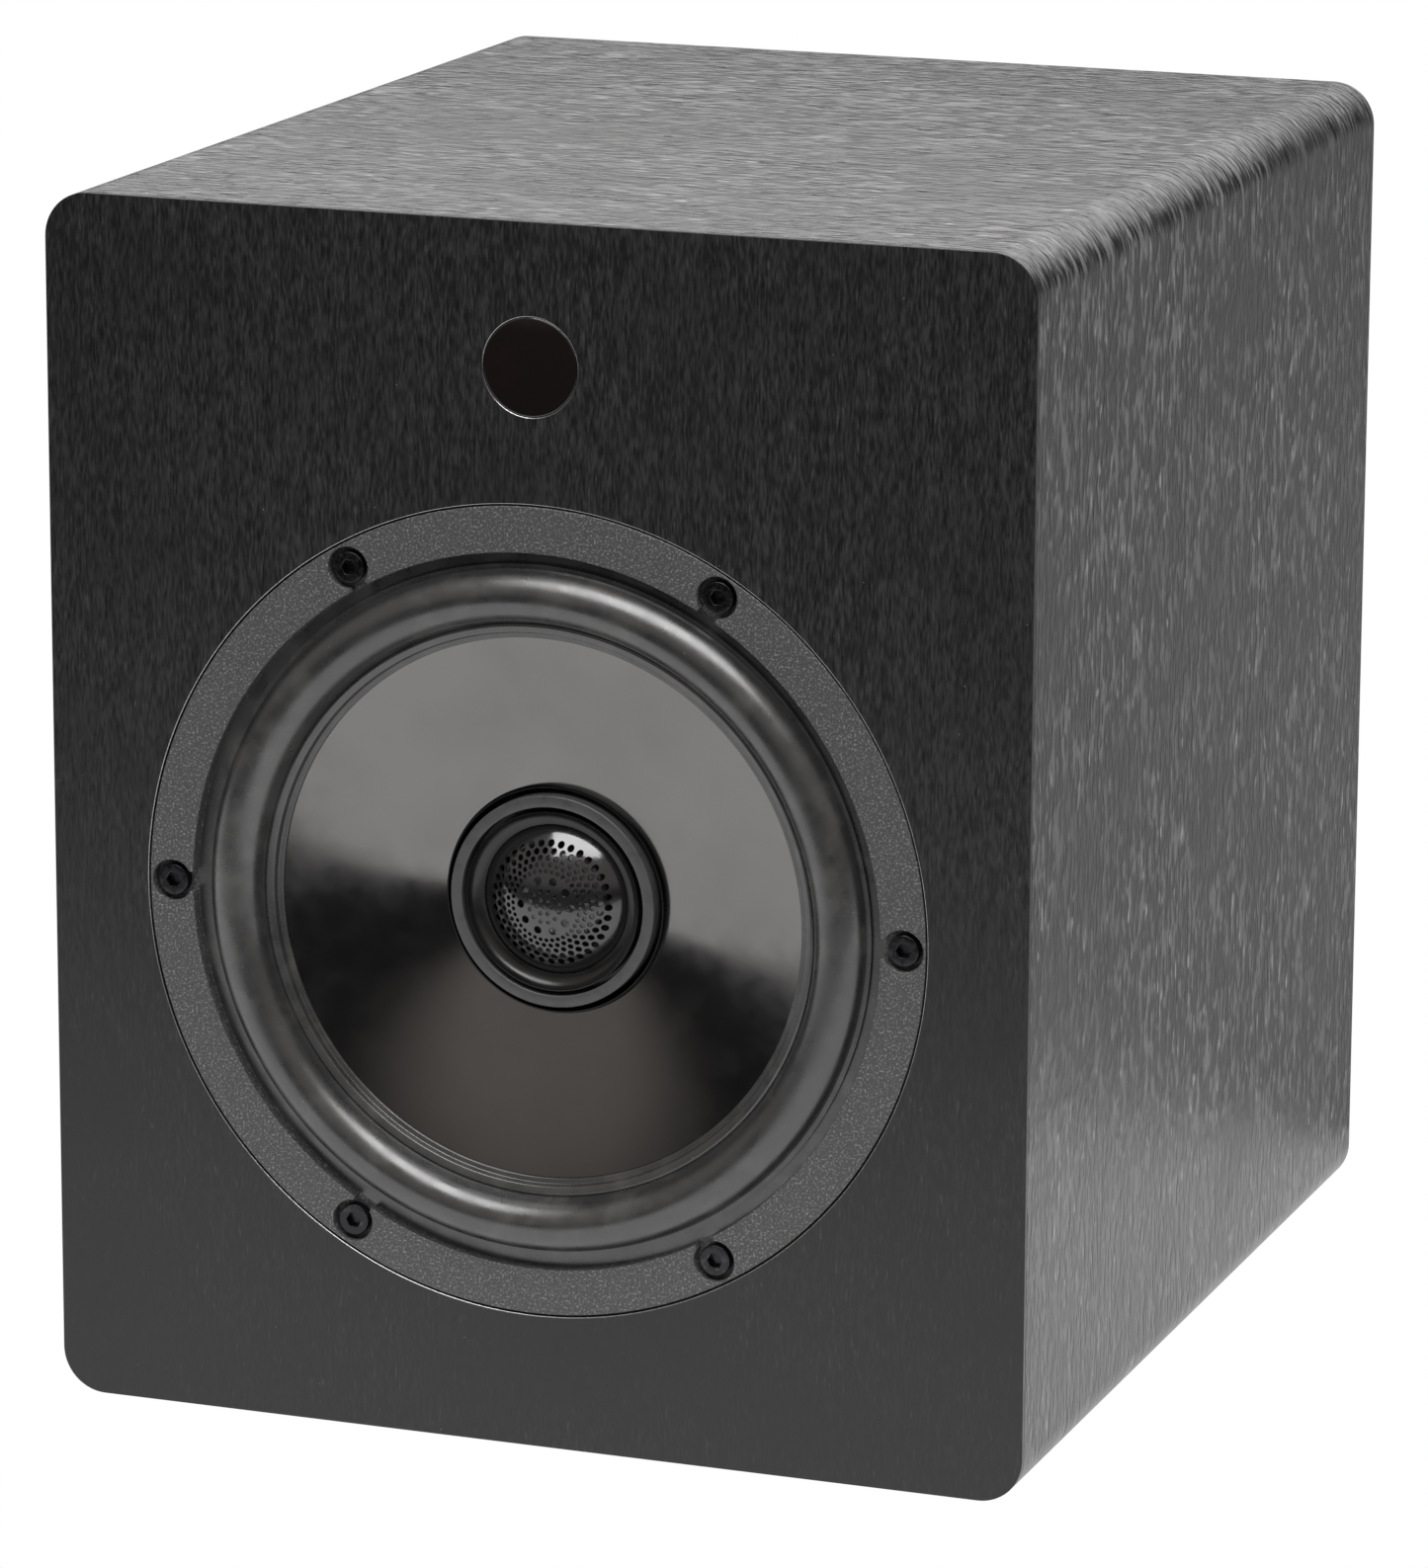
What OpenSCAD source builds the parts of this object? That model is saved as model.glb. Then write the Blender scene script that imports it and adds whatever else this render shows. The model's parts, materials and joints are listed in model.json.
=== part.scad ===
// Active bookshelf loudspeaker: a sealed cabinet with a brushed black skin, one coaxial driver
// (woofer cone with a dome tweeter on its pole), a sensor window and a rear amplifier plate.
// Millimetres. +Z is up, the front faces -Y, and the origin is under the middle of the object.
// Depths are measured from the face of the front plate, growing towards the rear.

/* [Cabinet] */
// Width of the cabinet over its skin
body_w = 226; // [215:1:300]
// Height of the cabinet over its skin
body_h = 272; // [268:1:340]
// Depth of the cabinet from its front face to its rear edge
body_d = 259; // [240:1:340]
// Radius of the four long edges
corner_r = 10; // [5:0.5:14]
// Thickness of the brushed skin
skin_t = 0.8; // [0.5:0.1:1.5]
// Thickness of the side, top and bottom boards
board_t = 15; // [12:0.5:18]
// Thickness of the front baffle board
baffle_t = 20; // [19:0.5:24]
// Thickness of the rear board
rear_t = 18; // [15:0.5:24]
// Thickness of the brushed front plate
plate_t = 1.5; // [1:0.1:2.5]
// Thickness of the brace board
brace_t = 12; // [9:0.5:18]
// Depth of the brace's front face
brace_depth = 118; // [105:1:125]
// Width of the wood that the brace's window leaves
brace_rim = 20; // [12:1:30]
// Thickness of the wadding blanket
wadding_t = 15; // [8:1:18]

/* [Sensor window] */
// Height of the window's centre above the base
window_z = 240.7; // [236:0.5:242]
// Radius of the window lens
lens_r = 10.8; // [8:0.1:12]
// Thickness of the window lens
lens_t = 3.4; // [2:0.1:5]
// Distance between the window and the sensor board behind the baffle
board_standoff = 8.5; // [7:0.5:12]

/* [Woofer] */
// Height of the driver's axis above the base
driver_z = 120.5; // [112:0.5:124]
// Radius of the driver's flange
flange_r = 90; // [86:0.5:92]
// Width of the flange's flat face
flange_w = 10.2; // [9.8:0.1:12]
// Thickness of the flange
flange_t = 6; // [5.5:0.5:8]
// Depth of the ledge that the rubber surround sits on
ledge_depth = 3; // [2.5:0.1:3.2]
// Width of the surround's glued outer rim
seat_w = 3.7; // [3:0.1:5]
// Outer radius of the surround's half roll
roll_r = 5.9; // [4.5:0.1:6.5]
// Thickness of the surround's rubber
rubber_t = 0.9; // [0.6:0.1:1.2]
// Width of the cone's flat rim
cone_rim_w = 4.9; // [4:0.1:6]
// Depth of the cone's rim
cone_edge_depth = 5.5; // [5:0.1:7]
// Depth of the cone's neck
cone_neck_depth = 14.6; // [12:0.1:20]
// Thickness of the metal cone
cone_t = 0.6; // [0.4:0.1:1]
// Inner radius of the voice coil former
former_r = 25; // [24.9:0.1:26]
// Wall of the voice coil former
former_t = 0.3; // [0.2:0.1:0.5]
// Height of the copper winding's two layers
winding_t = 0.9; // [0.5:0.1:1.2]
// Length of the copper winding
winding_len = 14; // [10:1:16]
// Number of flange screws
screw_count = 6; // [4:1:8]
// Distance of the screw circle inside the flange's edge
screw_inset = 5.2; // [5:0.1:5.6]
// Depth of the spider's seat
spider_depth = 38; // [36.5:0.5:40]

/* [Motor] */
// Depth of the basket's motor seat
motor_depth = 48; // [46.5:0.5:54]
// Thickness of the front pole plate
top_plate_t = 6; // [5:0.5:8]
// Radius of the front pole plate
top_plate_r = 50; // [48:1:52]
// Thickness of the ferrite ring
magnet_t = 20; // [15:1:24]
// Radius of the ferrite ring
magnet_r = 60; // [55:1:64]
// Inner radius of the ferrite ring
magnet_bore_r = 30; // [29:0.5:34]
// Thickness of the rear yoke plate
yoke_t = 7; // [5:0.5:9]
// Radius of the rear yoke plate
yoke_r = 52; // [48:1:56]
// Radius of the hole through the pole
pole_bore_r = 6; // [5:0.5:8]

/* [Tweeter] */
// Outer radius of the tweeter housing
housing_r = 23.75; // [23:0.05:23.9]
// Width of the housing's front ring
housing_ring_w = 2.65; // [2:0.05:2.8]
// Depth of the housing's front ring
housing_depth = 12.2; // [11:0.1:14]
// Length of the housing
housing_len = 19.8; // [19.5:0.1:21]
// Thickness of the housing's floor
housing_floor_t = 3; // [2:0.5:4]
// Radius of the wave guide's rim
guide_r = 20.2; // [19.6:0.1:20.5]
// Width of the wave guide's bowl
bowl_w = 3.4; // [3:0.1:3.8]
// Height of the protective mesh dome
mesh_h = 7.6; // [6:0.1:8]
// Thickness of the protective mesh
mesh_t = 0.5; // [0.4:0.1:0.8]
// Radius of the tweeter dome
dome_r = 12.6; // [12:0.1:12.9]
// Height of the tweeter dome
dome_h = 4.4; // [3:0.1:5]
// Radius of the tweeter's neodymium disc
tweeter_magnet_r = 11; // [9:0.5:11.5]
// Radius of the post between tweeter and pole
post_r = 10; // [8:0.5:14]

/* [Amplifier plate] */
// Width of the amplifier plate
amp_w = 170; // [160:1:176]
// Height of the amplifier plate
amp_h = 216; // [210:1:226]
// Thickness of the amplifier plate
amp_t = 3; // [2:0.5:4]
// Width of the plate's rim that the rear board carries
amp_rim = 14; // [12:1:15]
// Width of the heat sink
sink_w = 140; // [100:1:150]
// Height of the heat sink
sink_h = 80; // [60:1:84]
// Number of the heat sink's fins
fin_count = 15; // [8:1:17]
// Height of the fins above the heat sink's base
fin_h = 12; // [8:1:20]
// Diameter of the gain knob
knob_d = 15; // [12:0.5:18]
// Height of the gain knob
knob_h = 10; // [8:0.5:12]
// Travel of a trim lever to each side
trim_travel = 2; // [1.5:0.5:2]
// Largest tilt of the power rocker to each side
rocker_tilt = 10; // [8:1:11]
// Outer radius of the transformer
toroid_r = 45; // [38:1:46]
// Height of the transformer
toroid_h = 38; // [30:1:40]

/* [Hidden] */
fine = 96;
over = 1; // how far a cutting solid runs past the face it cuts

// clearances
flange_gap = 0.4;
lens_gap = 0.05;
skirt_gap = 0.5;
coil_gap = 0.5;
plate_gap = 0.5;
slide_gap = 0.3;
fuse_gap = 0.2;
latch_gap = 0.25;
running_gap = 0.05;

// colours
brushed_black = [0.20, 0.20, 0.21];
board_brown = [0.45, 0.33, 0.22];
black_plastic = [0.08, 0.08, 0.08];
cast_black = [0.16, 0.16, 0.17];
bare_steel = [0.62, 0.63, 0.65];
ferrite_grey = [0.25, 0.25, 0.27];
copper = [0.72, 0.40, 0.22];
brass = [0.75, 0.62, 0.30];
circuit_green = [0.10, 0.32, 0.18];

// cabinet
inner_w = body_w - 2 * skin_t;
inner_h = body_h - 2 * skin_t;
room_w = inner_w - 2 * board_t;
room_h = inner_h - 2 * board_t;
room_foot = skin_t + board_t;
room_top = room_foot + room_h;
mid_z = body_h / 2;
baffle_back = plate_t + baffle_t;
rear_depth = body_d - rear_t;
edge_chamfer = 0.3;

// woofer: radii run inwards from the flange
gasket_t = 1;
flange_hole_r = flange_r + flange_gap;
flange_seat = flange_t + gasket_t;
ledge_r = flange_r - flange_w;
seat_r = ledge_r - seat_w;
skirt_r = seat_r - 0.6;
skirt_wall = 2.5;
skirt_out_r = skirt_r + skirt_wall;
cutout_r = skirt_out_r + skirt_gap;
roll_mid_r = seat_r - roll_r;
rim_out_r = roll_mid_r - roll_r + rubber_t;
cone_edge_r = rim_out_r - cone_rim_w;
former_out_r = former_r + former_t;
cone_slope = (cone_neck_depth - cone_edge_depth) / (cone_edge_r - former_out_r);
cone_back = cone_t * sqrt(1 + cone_slope * cone_slope);
collar_t = 0.6;
collar_len = 2.3;
former_front = cone_neck_depth - 0.6;
screw_circle_r = flange_r - screw_inset;
head_r = 3.5;
head_h = 2.8;
head_depth = 0.6;
hex_key = 3;
hex_depth = 1.8;
counterbore_r = 4.65;
counterbore_depth = head_depth + head_h;
neck_w = 4.4;
shank_r = 2;
shank_len = 16;
shank_hole_r = 2.25;
insert_r = 3;
insert_len = 11;

// basket behind the baffle
shoulder_depth = baffle_back + 0.5;
shoulder_t = 3;
shoulder_r = skirt_r - 9.5;
basket_wall = 3;
motor_ring_t = 3;
motor_ring_r = top_plate_r + 1;
spider_t = 0.6;
spider_wave = 1.4;
spider_waves = 4;
spider_foot = 1.7;
landing_w = 4.3;
landing_t = 3;
// inner radius of the basket's sloping wall at a depth behind the shoulder
wall_run = (shoulder_r - (motor_ring_r - basket_wall)) / (motor_depth - shoulder_depth - shoulder_t);
function wall_r(depth) = shoulder_r - wall_run * (depth - shoulder_depth - shoulder_t);
landing_r = wall_r(spider_depth);
landing_in_r = landing_r - landing_w;
spider_r = landing_r - 0.4;
window_count = 6;
vent_w = 30;
vent_step = 0.8; // from the shoulder to a vent
vent_rib = 1.5; // wall left between a vent and the spider's landing

// motor
winding_r = former_out_r + winding_t;
magnet_hole_r = max(magnet_bore_r, winding_r + coil_gap);
top_plate_depth = motor_depth + motor_ring_t;
gap_mid = top_plate_depth + top_plate_t / 2;
winding_front = gap_mid - winding_len / 2;
winding_back = gap_mid + winding_len / 2;
magnet_depth = top_plate_depth + top_plate_t;
yoke_depth = magnet_depth + magnet_t;
yoke_back = yoke_depth + yoke_t;
pole_r = former_r - coil_gap;

// terminal strip on the basket's shoulder, at the bottom
strip_w = 30;
strip_h = 8;
strip_t = 2;
strip_z = driver_z - shoulder_r - basket_wall - 0.5 - strip_h / 2;
tab_pitch = 14;
tab_len = 8;
lead_r = 0.7;

// tweeter, in front of the woofer's pole
bore_r = housing_r - housing_ring_w;
housing_back = housing_depth + housing_len;
housing_floor = housing_back - housing_floor_t;
guide_depth = housing_depth + 0.2;
guide_in_r = guide_r - bowl_w;
bowl_depth = 2.5;
mesh_seat_w = 1.6;
mesh_seat = guide_depth + bowl_depth + 0.8;
guide_back = guide_depth + 5.6;
guide_flange = guide_back - 1.5;
mesh_rim_r = guide_in_r - 0.1;
mesh_rim = mesh_seat - mesh_t;
mesh_ball_r = (mesh_rim_r * mesh_rim_r + mesh_h * mesh_h) / (2 * mesh_h);
mesh_front = mesh_rim - mesh_h;
// rings of holes in the mesh: count, radius of the ring, radius of a hole, turn in degrees
mesh_rings = [
    [1, 0, 0.5, 0], [6, 1.7, 0.5, 0], [12, 3.5, 0.5, 15], [10, 5.75, 0.9, 0],
    [36, 7.8, 0.48, 0], [36, 9.1, 0.54, 5], [36, 10.4, 0.6, 0], [36, 11.8, 0.68, 5], [36, 13.3, 0.75, 0]
];
film_t = 0.4;
dome_base = guide_back + film_t;
dome_front = dome_base - dome_h;
dome_ball_r = (dome_r * dome_r + dome_h * dome_h) / (2 * dome_h);
dome_skirt = 1;
tweeter_roll_r = 1;
tweeter_roll_mid = dome_r + tweeter_roll_r;
tweeter_film_r = 17.6;
tweeter_coil_len = 4;
tweeter_coil_t = 0.6;
cup_depth = dome_base;
cup_floor = housing_floor - 3;
cup_bore_r = dome_r + 0.7;
cup_r = bore_r - 0.2;
pole_disc_r = dome_r - 0.7;
pole_disc_t = 3;
tweeter_magnet_t = 3.6;
cable_bore_r = 3.5;
post_spigot = 9;

// amplifier plate; left and right are as seen from the front
plate_gasket_t = 1;
amp_depth = body_d - amp_t;
gasket_depth = amp_depth - plate_gasket_t;
amp_r = 6;
cut_w = amp_w - 2 * amp_rim;
cut_h = amp_h - 2 * amp_rim;
screw_x = amp_w / 2 - amp_rim / 2;
screw_z = amp_h / 2 - amp_rim / 2;
plate_screw_places = concat(
    [for (sx = [-1, 1], k = [-1, -1/3, 1/3, 1]) [sx * screw_x, mid_z + k * screw_z]],
    [for (k = [-1, 1]) [0, mid_z + k * screw_z]]
);
small_shank_r = 1.5;
small_shank_len = 12;
small_head_r = 3;
small_head_h = 1.8;
sink_base = 4;
fin_t = 2;
sink_z = mid_z + screw_z - sink_h / 2 - 6;
controls_z = sink_z - sink_h / 2 - 19;
sockets_z = controls_z - 48;

// mains inlet with a fuse drawer and a rocker switch
inlet_x = 46;
inlet_w = 27;
inlet_h = 47;
inlet_len = 28;
inlet_flange_t = 3;
inlet_flange_w = 34;
inlet_flange_h = 54;
inlet_face = body_d + inlet_flange_t;
inlet_cavity = [24.4, 16.6, 16];
inlet_cavity_z = sockets_z - 14;
pin_size = [2, 4];
pin_pitch = 14;
pin_rise = 2;
pin_front = inlet_face - 4;
pin_tail = 5;
pin_places = [
    [inlet_x - pin_pitch / 2, inlet_cavity_z - pin_rise],
    [inlet_x + pin_pitch / 2, inlet_cavity_z - pin_rise],
    [inlet_x, inlet_cavity_z + pin_rise]
];
drawer_w = 21.8;
drawer_h = 8.6;
drawer_len = 23.5;
drawer_z = sockets_z - 0.3;
drawer_lip_t = 1.5;
drawer_lip = 1.1;
fuse_r = 2.5;
fuse_len = 20;
fuse_depth = inlet_face - drawer_len + 4.5;
rocker_z = sockets_z + 14;
rocker_w = 20.2;
rocker_h = 12.4;
rocker_window = [21, 15];
rocker_pivot = inlet_face - 4.5;
trunnion_r = 1;
trunnion_len = 0.9;

// balanced input socket
xlr_x = -46;
xlr_flange_w = 26;
xlr_flange_h = 31;
xlr_flange_t = 2;
xlr_body_r = 12;
xlr_face = body_d + 3.5;
xlr_core_r = 7.6;
xlr_ring_r = 9.5;
xlr_ring_depth = 14;
xlr_len = 20;
xlr_hole_r = 1.3;
xlr_hole_circle = 3.2;
xlr_screws = [[xlr_x - 9.5, sockets_z + 12], [xlr_x + 9.5, sockets_z - 12]];
latch_w = 5.8;
latch_t = 0.9;
latch_z = sockets_z + 10.6;
latch_stroke = 1;
latch_pad = 1.3;

// gain control and trim switches
knob_x = -46;
pot_w = 16;
pot_len = 7;
bush_r = 3.75;
stem_r = 3;
nut_t = 2;
nut_r = 6;
knob_back = body_d + nut_t + 0.5;
flute_count = 18;
flute_r = 0.7;
trim_x = [6, 44];
trim_w = 14;
trim_h = 7;
trim_len = 7;
lever_size = 2.6;
lever_out = 2.5;
lever_foot = 4;

// electronics inside
board_w = 136;
board_h = 84;
pcb_t = 1.6;
standoff_len = 12;
pcb_depth = amp_depth - standoff_len - pcb_t;
pcb_z = mid_z + cut_h / 2 - board_h / 2 - 3;
capacitor_r = 11;
capacitor_len = 36;
capacitor_pitch = 25;
toroid_bore_r = 15;
toroid_depth = rear_depth - toroid_r - 12;

// the object's whole depth: from the surround's crown to the tips of the fins
crown_depth = ledge_depth - roll_r;
tail_depth = body_d + sink_base + fin_h;
mid_depth = (crown_depth + tail_depth) / 2;

// ---------------------------------------------------------------- placing

// moves what is drawn by depth into the object's own frame
module placed() {
    translate([0, -mid_depth, 0]) children();
}

// extrudes an outline drawn in X and Z between two depths
module between(front, back) {
    placed() translate([0, back, 0]) rotate([90, 0, 0]) linear_extrude(back - front) children();
}

// turns a profile of [radius, depth] about a fore-and-aft axis
module turned(x = 0, z = driver_z) {
    placed() translate([x, 0, z]) rotate([-90, 0, 0]) rotate_extrude($fn = fine) children();
}

// round bar between two depths
module bar(x, z, r, front, back, sides = fine) {
    placed() translate([x, front, z]) rotate([-90, 0, 0]) cylinder(r = r, h = back - front, $fn = sides);
}

// square bar between two depths, centred on x and z
module block(x, z, w, h, front, back) {
    placed() translate([x - w / 2, front, z - h / 2]) cube([w, back - front, h]);
}

// rectangle with rounded corners, centred on a point
module rounded(w, h, r, x = 0, z = 0) {
    translate([x, z]) {
        square([w - 2 * r, h], center = true);
        square([w, h - 2 * r], center = true);
        for (sx = [-1, 1], sz = [-1, 1])
            translate([sx * (w / 2 - r), sz * (h / 2 - r)]) circle(r, $fn = 48);
    }
}

// places on a circle about the driver's axis
function ring_places(count, r, start = 0) = [for (k = [0 : count - 1])
    let (a = start + k * 360 / count) [r * cos(a), driver_z + r * sin(a)]];
screw_places = ring_places(screw_count, screw_circle_r);

// smooth route through a list of points, with steps between each two
function bend(a, b, c, d, t) = 0.5 * (2 * b + (c - a) * t + (2 * a - 5 * b + 4 * c - d) * t * t
    + (3 * b - a - 3 * c + d) * t * t * t);
function smooth(p, steps = 3) = let (n = len(p)) concat([for (i = [0 : n - 2], s = [0 : steps - 1])
    bend(i == 0 ? 2 * p[0] - p[1] : p[i - 1], p[i], p[i + 1],
        i == n - 2 ? 2 * p[n - 1] - p[n - 2] : p[i + 2], s / steps)], [p[n - 1]]);
function unit(v) = v / norm(v);
// directions along the smoothed route, which leaves and arrives as its hand-set points do
function headings(route, p) = let (n = len(p), m = len(route)) concat([unit(route[1] - route[0])],
    [for (i = [1 : n - 2]) unit(p[i + 1] - p[i - 1])], [unit(route[m - 1] - route[m - 2])]);
// side vectors carried along the route without twisting
function carry(v, t) = unit(v - t * (v * t));
function sides_of(t) = [for (i = 0, v = carry([0.6, 0.1, 0.79], t[0]); i < len(t);
    i = i + 1, v = i < len(t) ? carry(v, t[i]) : v) v];

// round cable swept along a route of [x, depth, z] points
module cable(route, r, sides = 8) {
    p = smooth(route);
    n = len(p);
    t = headings(route, p);
    v = sides_of(t);
    points = [for (i = [0 : n - 1], k = [0 : sides - 1])
        let (a = k * 360 / sides) p[i] + r * (cos(a) * v[i] + sin(a) * cross(t[i], v[i]))];
    walls = [for (i = [0 : n - 2], k = [0 : sides - 1]) let (j = (k + 1) % sides)
        [i * sides + k, (i + 1) * sides + k, (i + 1) * sides + j, i * sides + j]];
    front_cap = [[for (k = [0 : sides - 1]) k]];
    back_cap = [[for (k = [sides - 1 : -1 : 0]) (n - 1) * sides + k]];
    placed() polyhedron(points, concat(front_cap, walls, back_cap), convexity = 6);
}

// ---------------------------------------------------------------- cabinet

module cabinet_skin() {
    color(brushed_black) between(plate_t, body_d) difference() {
        rounded(body_w, body_h, corner_r, 0, mid_z);
        rounded(inner_w, inner_h, corner_r - skin_t, 0, mid_z);
    }
}

module front_plate() {
    color(brushed_black) difference() {
        between(0, plate_t) rounded(body_w, body_h, corner_r, 0, mid_z);
        turned() polygon(countersink(flange_hole_r));
        turned(0, window_z) polygon(countersink(lens_r + lens_gap));
    }
}

// profile of a round hole through the front plate with a bevelled front edge
function countersink(r) = [[0, -over], [r + edge_chamfer + over, -over], [r, edge_chamfer],
    [r, plate_t + over], [0, plate_t + over]];

// room for the basket and its inserts, in whatever boards they reach
module driver_recess() {
    bar(0, driver_z, cutout_r, 0, baffle_back + over);
    bar(0, driver_z, flange_hole_r, 0, flange_seat);
    for (p = screw_places) bar(p[0], p[1], insert_r, 0, flange_seat + insert_len + 2);
}

// room for the amplifier's plate, its gasket and its screws
module plate_recess() {
    between(gasket_depth, body_d + over)
        rounded(amp_w + 2 * plate_gap, amp_h + 2 * plate_gap, amp_r, 0, mid_z);
    for (p = plate_screw_places)
        bar(p[0], p[1], small_shank_r, body_d - small_shank_len, body_d + over);
}

module front_baffle() {
    color(board_brown) difference() {
        block(0, mid_z, room_w, room_h, plate_t, baffle_back);
        driver_recess();
        bar(0, window_z, lens_r + lens_gap, 0, lens_t + 0.1);
        bar(0, window_z, lens_r - 2, 0, baffle_back + over);
    }
}

// the two side boards carry the rounded edges
module side_board(side) {
    difference() {
        between(plate_t, body_d) intersection() {
            rounded(inner_w, inner_h, corner_r - skin_t, 0, mid_z);
            translate([side * (inner_w - board_t) / 2, mid_z])
                square([board_t, inner_h], center = true);
        }
        driver_recess();
        plate_recess();
    }
}

// top or bottom board
module level_board(z) {
    difference() {
        block(0, z, room_w, board_t, plate_t, body_d);
        driver_recess();
        plate_recess();
    }
}

module left_panel() {
    color(board_brown) side_board(-1);
}

module right_panel() {
    color(board_brown) side_board(1);
}

module top_panel() {
    color(board_brown) level_board(room_top + board_t / 2);
}

module bottom_panel() {
    color(board_brown) level_board(room_foot - board_t / 2);
}

module rear_panel() {
    color(board_brown) difference() {
        block(0, mid_z, room_w, room_h, rear_depth, body_d);
        block(0, mid_z, cut_w, cut_h, rear_depth - over, body_d);
        plate_recess();
    }
}

module cabinet_brace() {
    color(board_brown) between(brace_depth, brace_depth + brace_t) difference() {
        translate([0, mid_z]) square([room_w, room_h], center = true);
        rounded(room_w - 2 * brace_rim, room_h - 2 * brace_rim, 15, 0, mid_z);
    }
}

// blanket along the two sides and the top, between the driver and the brace
module wadding() {
    gap = 0.2;
    w = room_w - 2 * gap;
    top = room_top - gap;
    foot = room_foot + gap;
    color("ivory") between(baffle_back + 24, brace_depth - 3) difference() {
        translate([-w / 2, foot]) square([w, top - foot]);
        translate([-w / 2 + wadding_t, foot - over])
            square([w - 2 * wadding_t, top - foot - wadding_t + over]);
    }
}

// ---------------------------------------------------------------- sensor window

module window_lens() {
    color(black_plastic) bar(0, window_z, lens_r, 0.1, lens_t);
}

module lens_holder() {
    tube_r = lens_r - 1.6;
    back = baffle_back + board_standoff;
    color(black_plastic) turned(0, window_z) polygon([[tube_r, baffle_back], [15, baffle_back],
        [15, baffle_back + 2], [tube_r + 2, baffle_back + 2], [tube_r + 2, back], [tube_r, back]]);
}

module sensor_board() {
    front = baffle_back + board_standoff;
    color(circuit_green) block(0, window_z, 30, 26, front, front + pcb_t);
}

module ir_receiver() {
    front = baffle_back + board_standoff;
    color(black_plastic) {
        block(-3, window_z, 6, 7, front - 3, front);
        placed() translate([-3, front - 3, window_z]) sphere(2.4, $fn = 32);
    }
}

module status_led() {
    front = baffle_back + board_standoff;
    color("firebrick") {
        bar(4.5, window_z, 1.5, front - 5, front, 32);
        placed() translate([4.5, front - 5, window_z]) sphere(1.5, $fn = 32);
    }
}

// ---------------------------------------------------------------- woofer

module basket() {
    wall_back = motor_depth + motor_ring_t;
    color(cast_black) difference() {
        turned() polygon([
            [flange_r, 0], [flange_r, flange_t], [skirt_out_r, flange_t],
            [skirt_out_r, shoulder_depth + shoulder_t],
            [shoulder_r + basket_wall, shoulder_depth + shoulder_t], [motor_ring_r, motor_depth],
            [motor_ring_r, wall_back], [winding_r + 1.8, wall_back], [winding_r + 1.8, motor_depth],
            [motor_ring_r - basket_wall, motor_depth],
            [wall_r(spider_depth + landing_t), spider_depth + landing_t],
            [landing_in_r, spider_depth + landing_t], [landing_in_r, spider_depth],
            [landing_r, spider_depth], [shoulder_r, shoulder_depth + shoulder_t],
            [shoulder_r, shoulder_depth], [skirt_r, shoulder_depth], [skirt_r, ledge_depth],
            [ledge_r, ledge_depth], [ledge_r, 0]
        ]);
        for (p = screw_places) {
            bar(p[0], p[1], shank_hole_r, -over, flange_t + over);
            bar(p[0], p[1], counterbore_r, -over, counterbore_depth);
        }
        for (k = [0 : screw_count - 1]) screw_neck(k * 360 / screw_count);
        for (k = [0 : window_count - 1]) vent((k + 0.5) * 360 / window_count);
    }
}

// channel that opens a counterbore into the inner step
module screw_neck(angle) {
    placed() translate([0, 0, driver_z]) rotate([0, -angle, 0])
        translate([ledge_r - over, -over, -neck_w / 2])
            cube([screw_circle_r - ledge_r + over, ledge_depth + over, neck_w]);
}

// opening in the basket's sloping wall
module vent(angle) {
    front = shoulder_depth + shoulder_t + vent_step;
    placed() translate([0, 0, driver_z]) rotate([0, -angle, 0])
        translate([landing_in_r, front, -vent_w / 2]) cube([40, spider_depth - vent_rib - front, vent_w]);
}

module basket_gasket() {
    color(black_plastic) difference() {
        turned() translate([cutout_r, flange_t]) square([flange_r - cutout_r, gasket_t]);
        for (p = screw_places) bar(p[0], p[1], shank_hole_r, flange_t - over, flange_seat + over);
    }
}

module basket_screws() {
    color(black_plastic) for (p = screw_places) difference() {
        union() {
            bar(p[0], p[1], head_r, head_depth, head_depth + head_h);
            bar(p[0], p[1], shank_r, head_depth + head_h - 0.1, head_depth + head_h + shank_len);
        }
        bar(p[0], p[1], hex_key / 2 / cos(30), head_depth - over, head_depth + hex_depth, 6);
    }
}

module threaded_inserts() {
    color(brass) for (p = screw_places) difference() {
        bar(p[0], p[1], insert_r, flange_seat, flange_seat + insert_len);
        bar(p[0], p[1], shank_r, flange_seat - over, flange_seat + insert_len + over);
    }
}

module surround() {
    foot_front = cone_edge_depth - rubber_t;
    rib_w = 3.6;
    color(black_plastic) turned() {
        translate([seat_r - rubber_t, ledge_depth - rubber_t]) square([seat_w + rubber_t - 0.2, rubber_t]);
        translate([roll_mid_r, ledge_depth]) difference() {
            circle(roll_r, $fn = fine);
            circle(roll_r - rubber_t, $fn = fine);
            translate([-2 * roll_r, 0]) square([4 * roll_r, 2 * roll_r]);
        }
        translate([cone_edge_r, foot_front]) square([cone_rim_w, rubber_t]);
        translate([rim_out_r - rib_w, ledge_depth - 0.1]) square([rib_w, foot_front - ledge_depth + 0.2]);
    }
}

module cone() {
    color("dimgray") turned() polygon([
        [former_out_r, cone_neck_depth], [cone_edge_r, cone_edge_depth], [rim_out_r, cone_edge_depth],
        [rim_out_r, cone_edge_depth + cone_t], [cone_edge_r + 0.3, cone_edge_depth + cone_t],
        [former_out_r + collar_t, cone_neck_depth + cone_back - cone_slope * collar_t],
        [former_out_r + collar_t, cone_neck_depth + collar_len], [former_out_r, cone_neck_depth + collar_len]
    ]);
}

module coil_former() {
    color("peru") turned() translate([former_r, former_front])
        square([former_t, winding_back - former_front]);
}

module coil_winding() {
    color(copper) turned() translate([former_out_r, winding_front]) square([winding_t, winding_len]);
}

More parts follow.
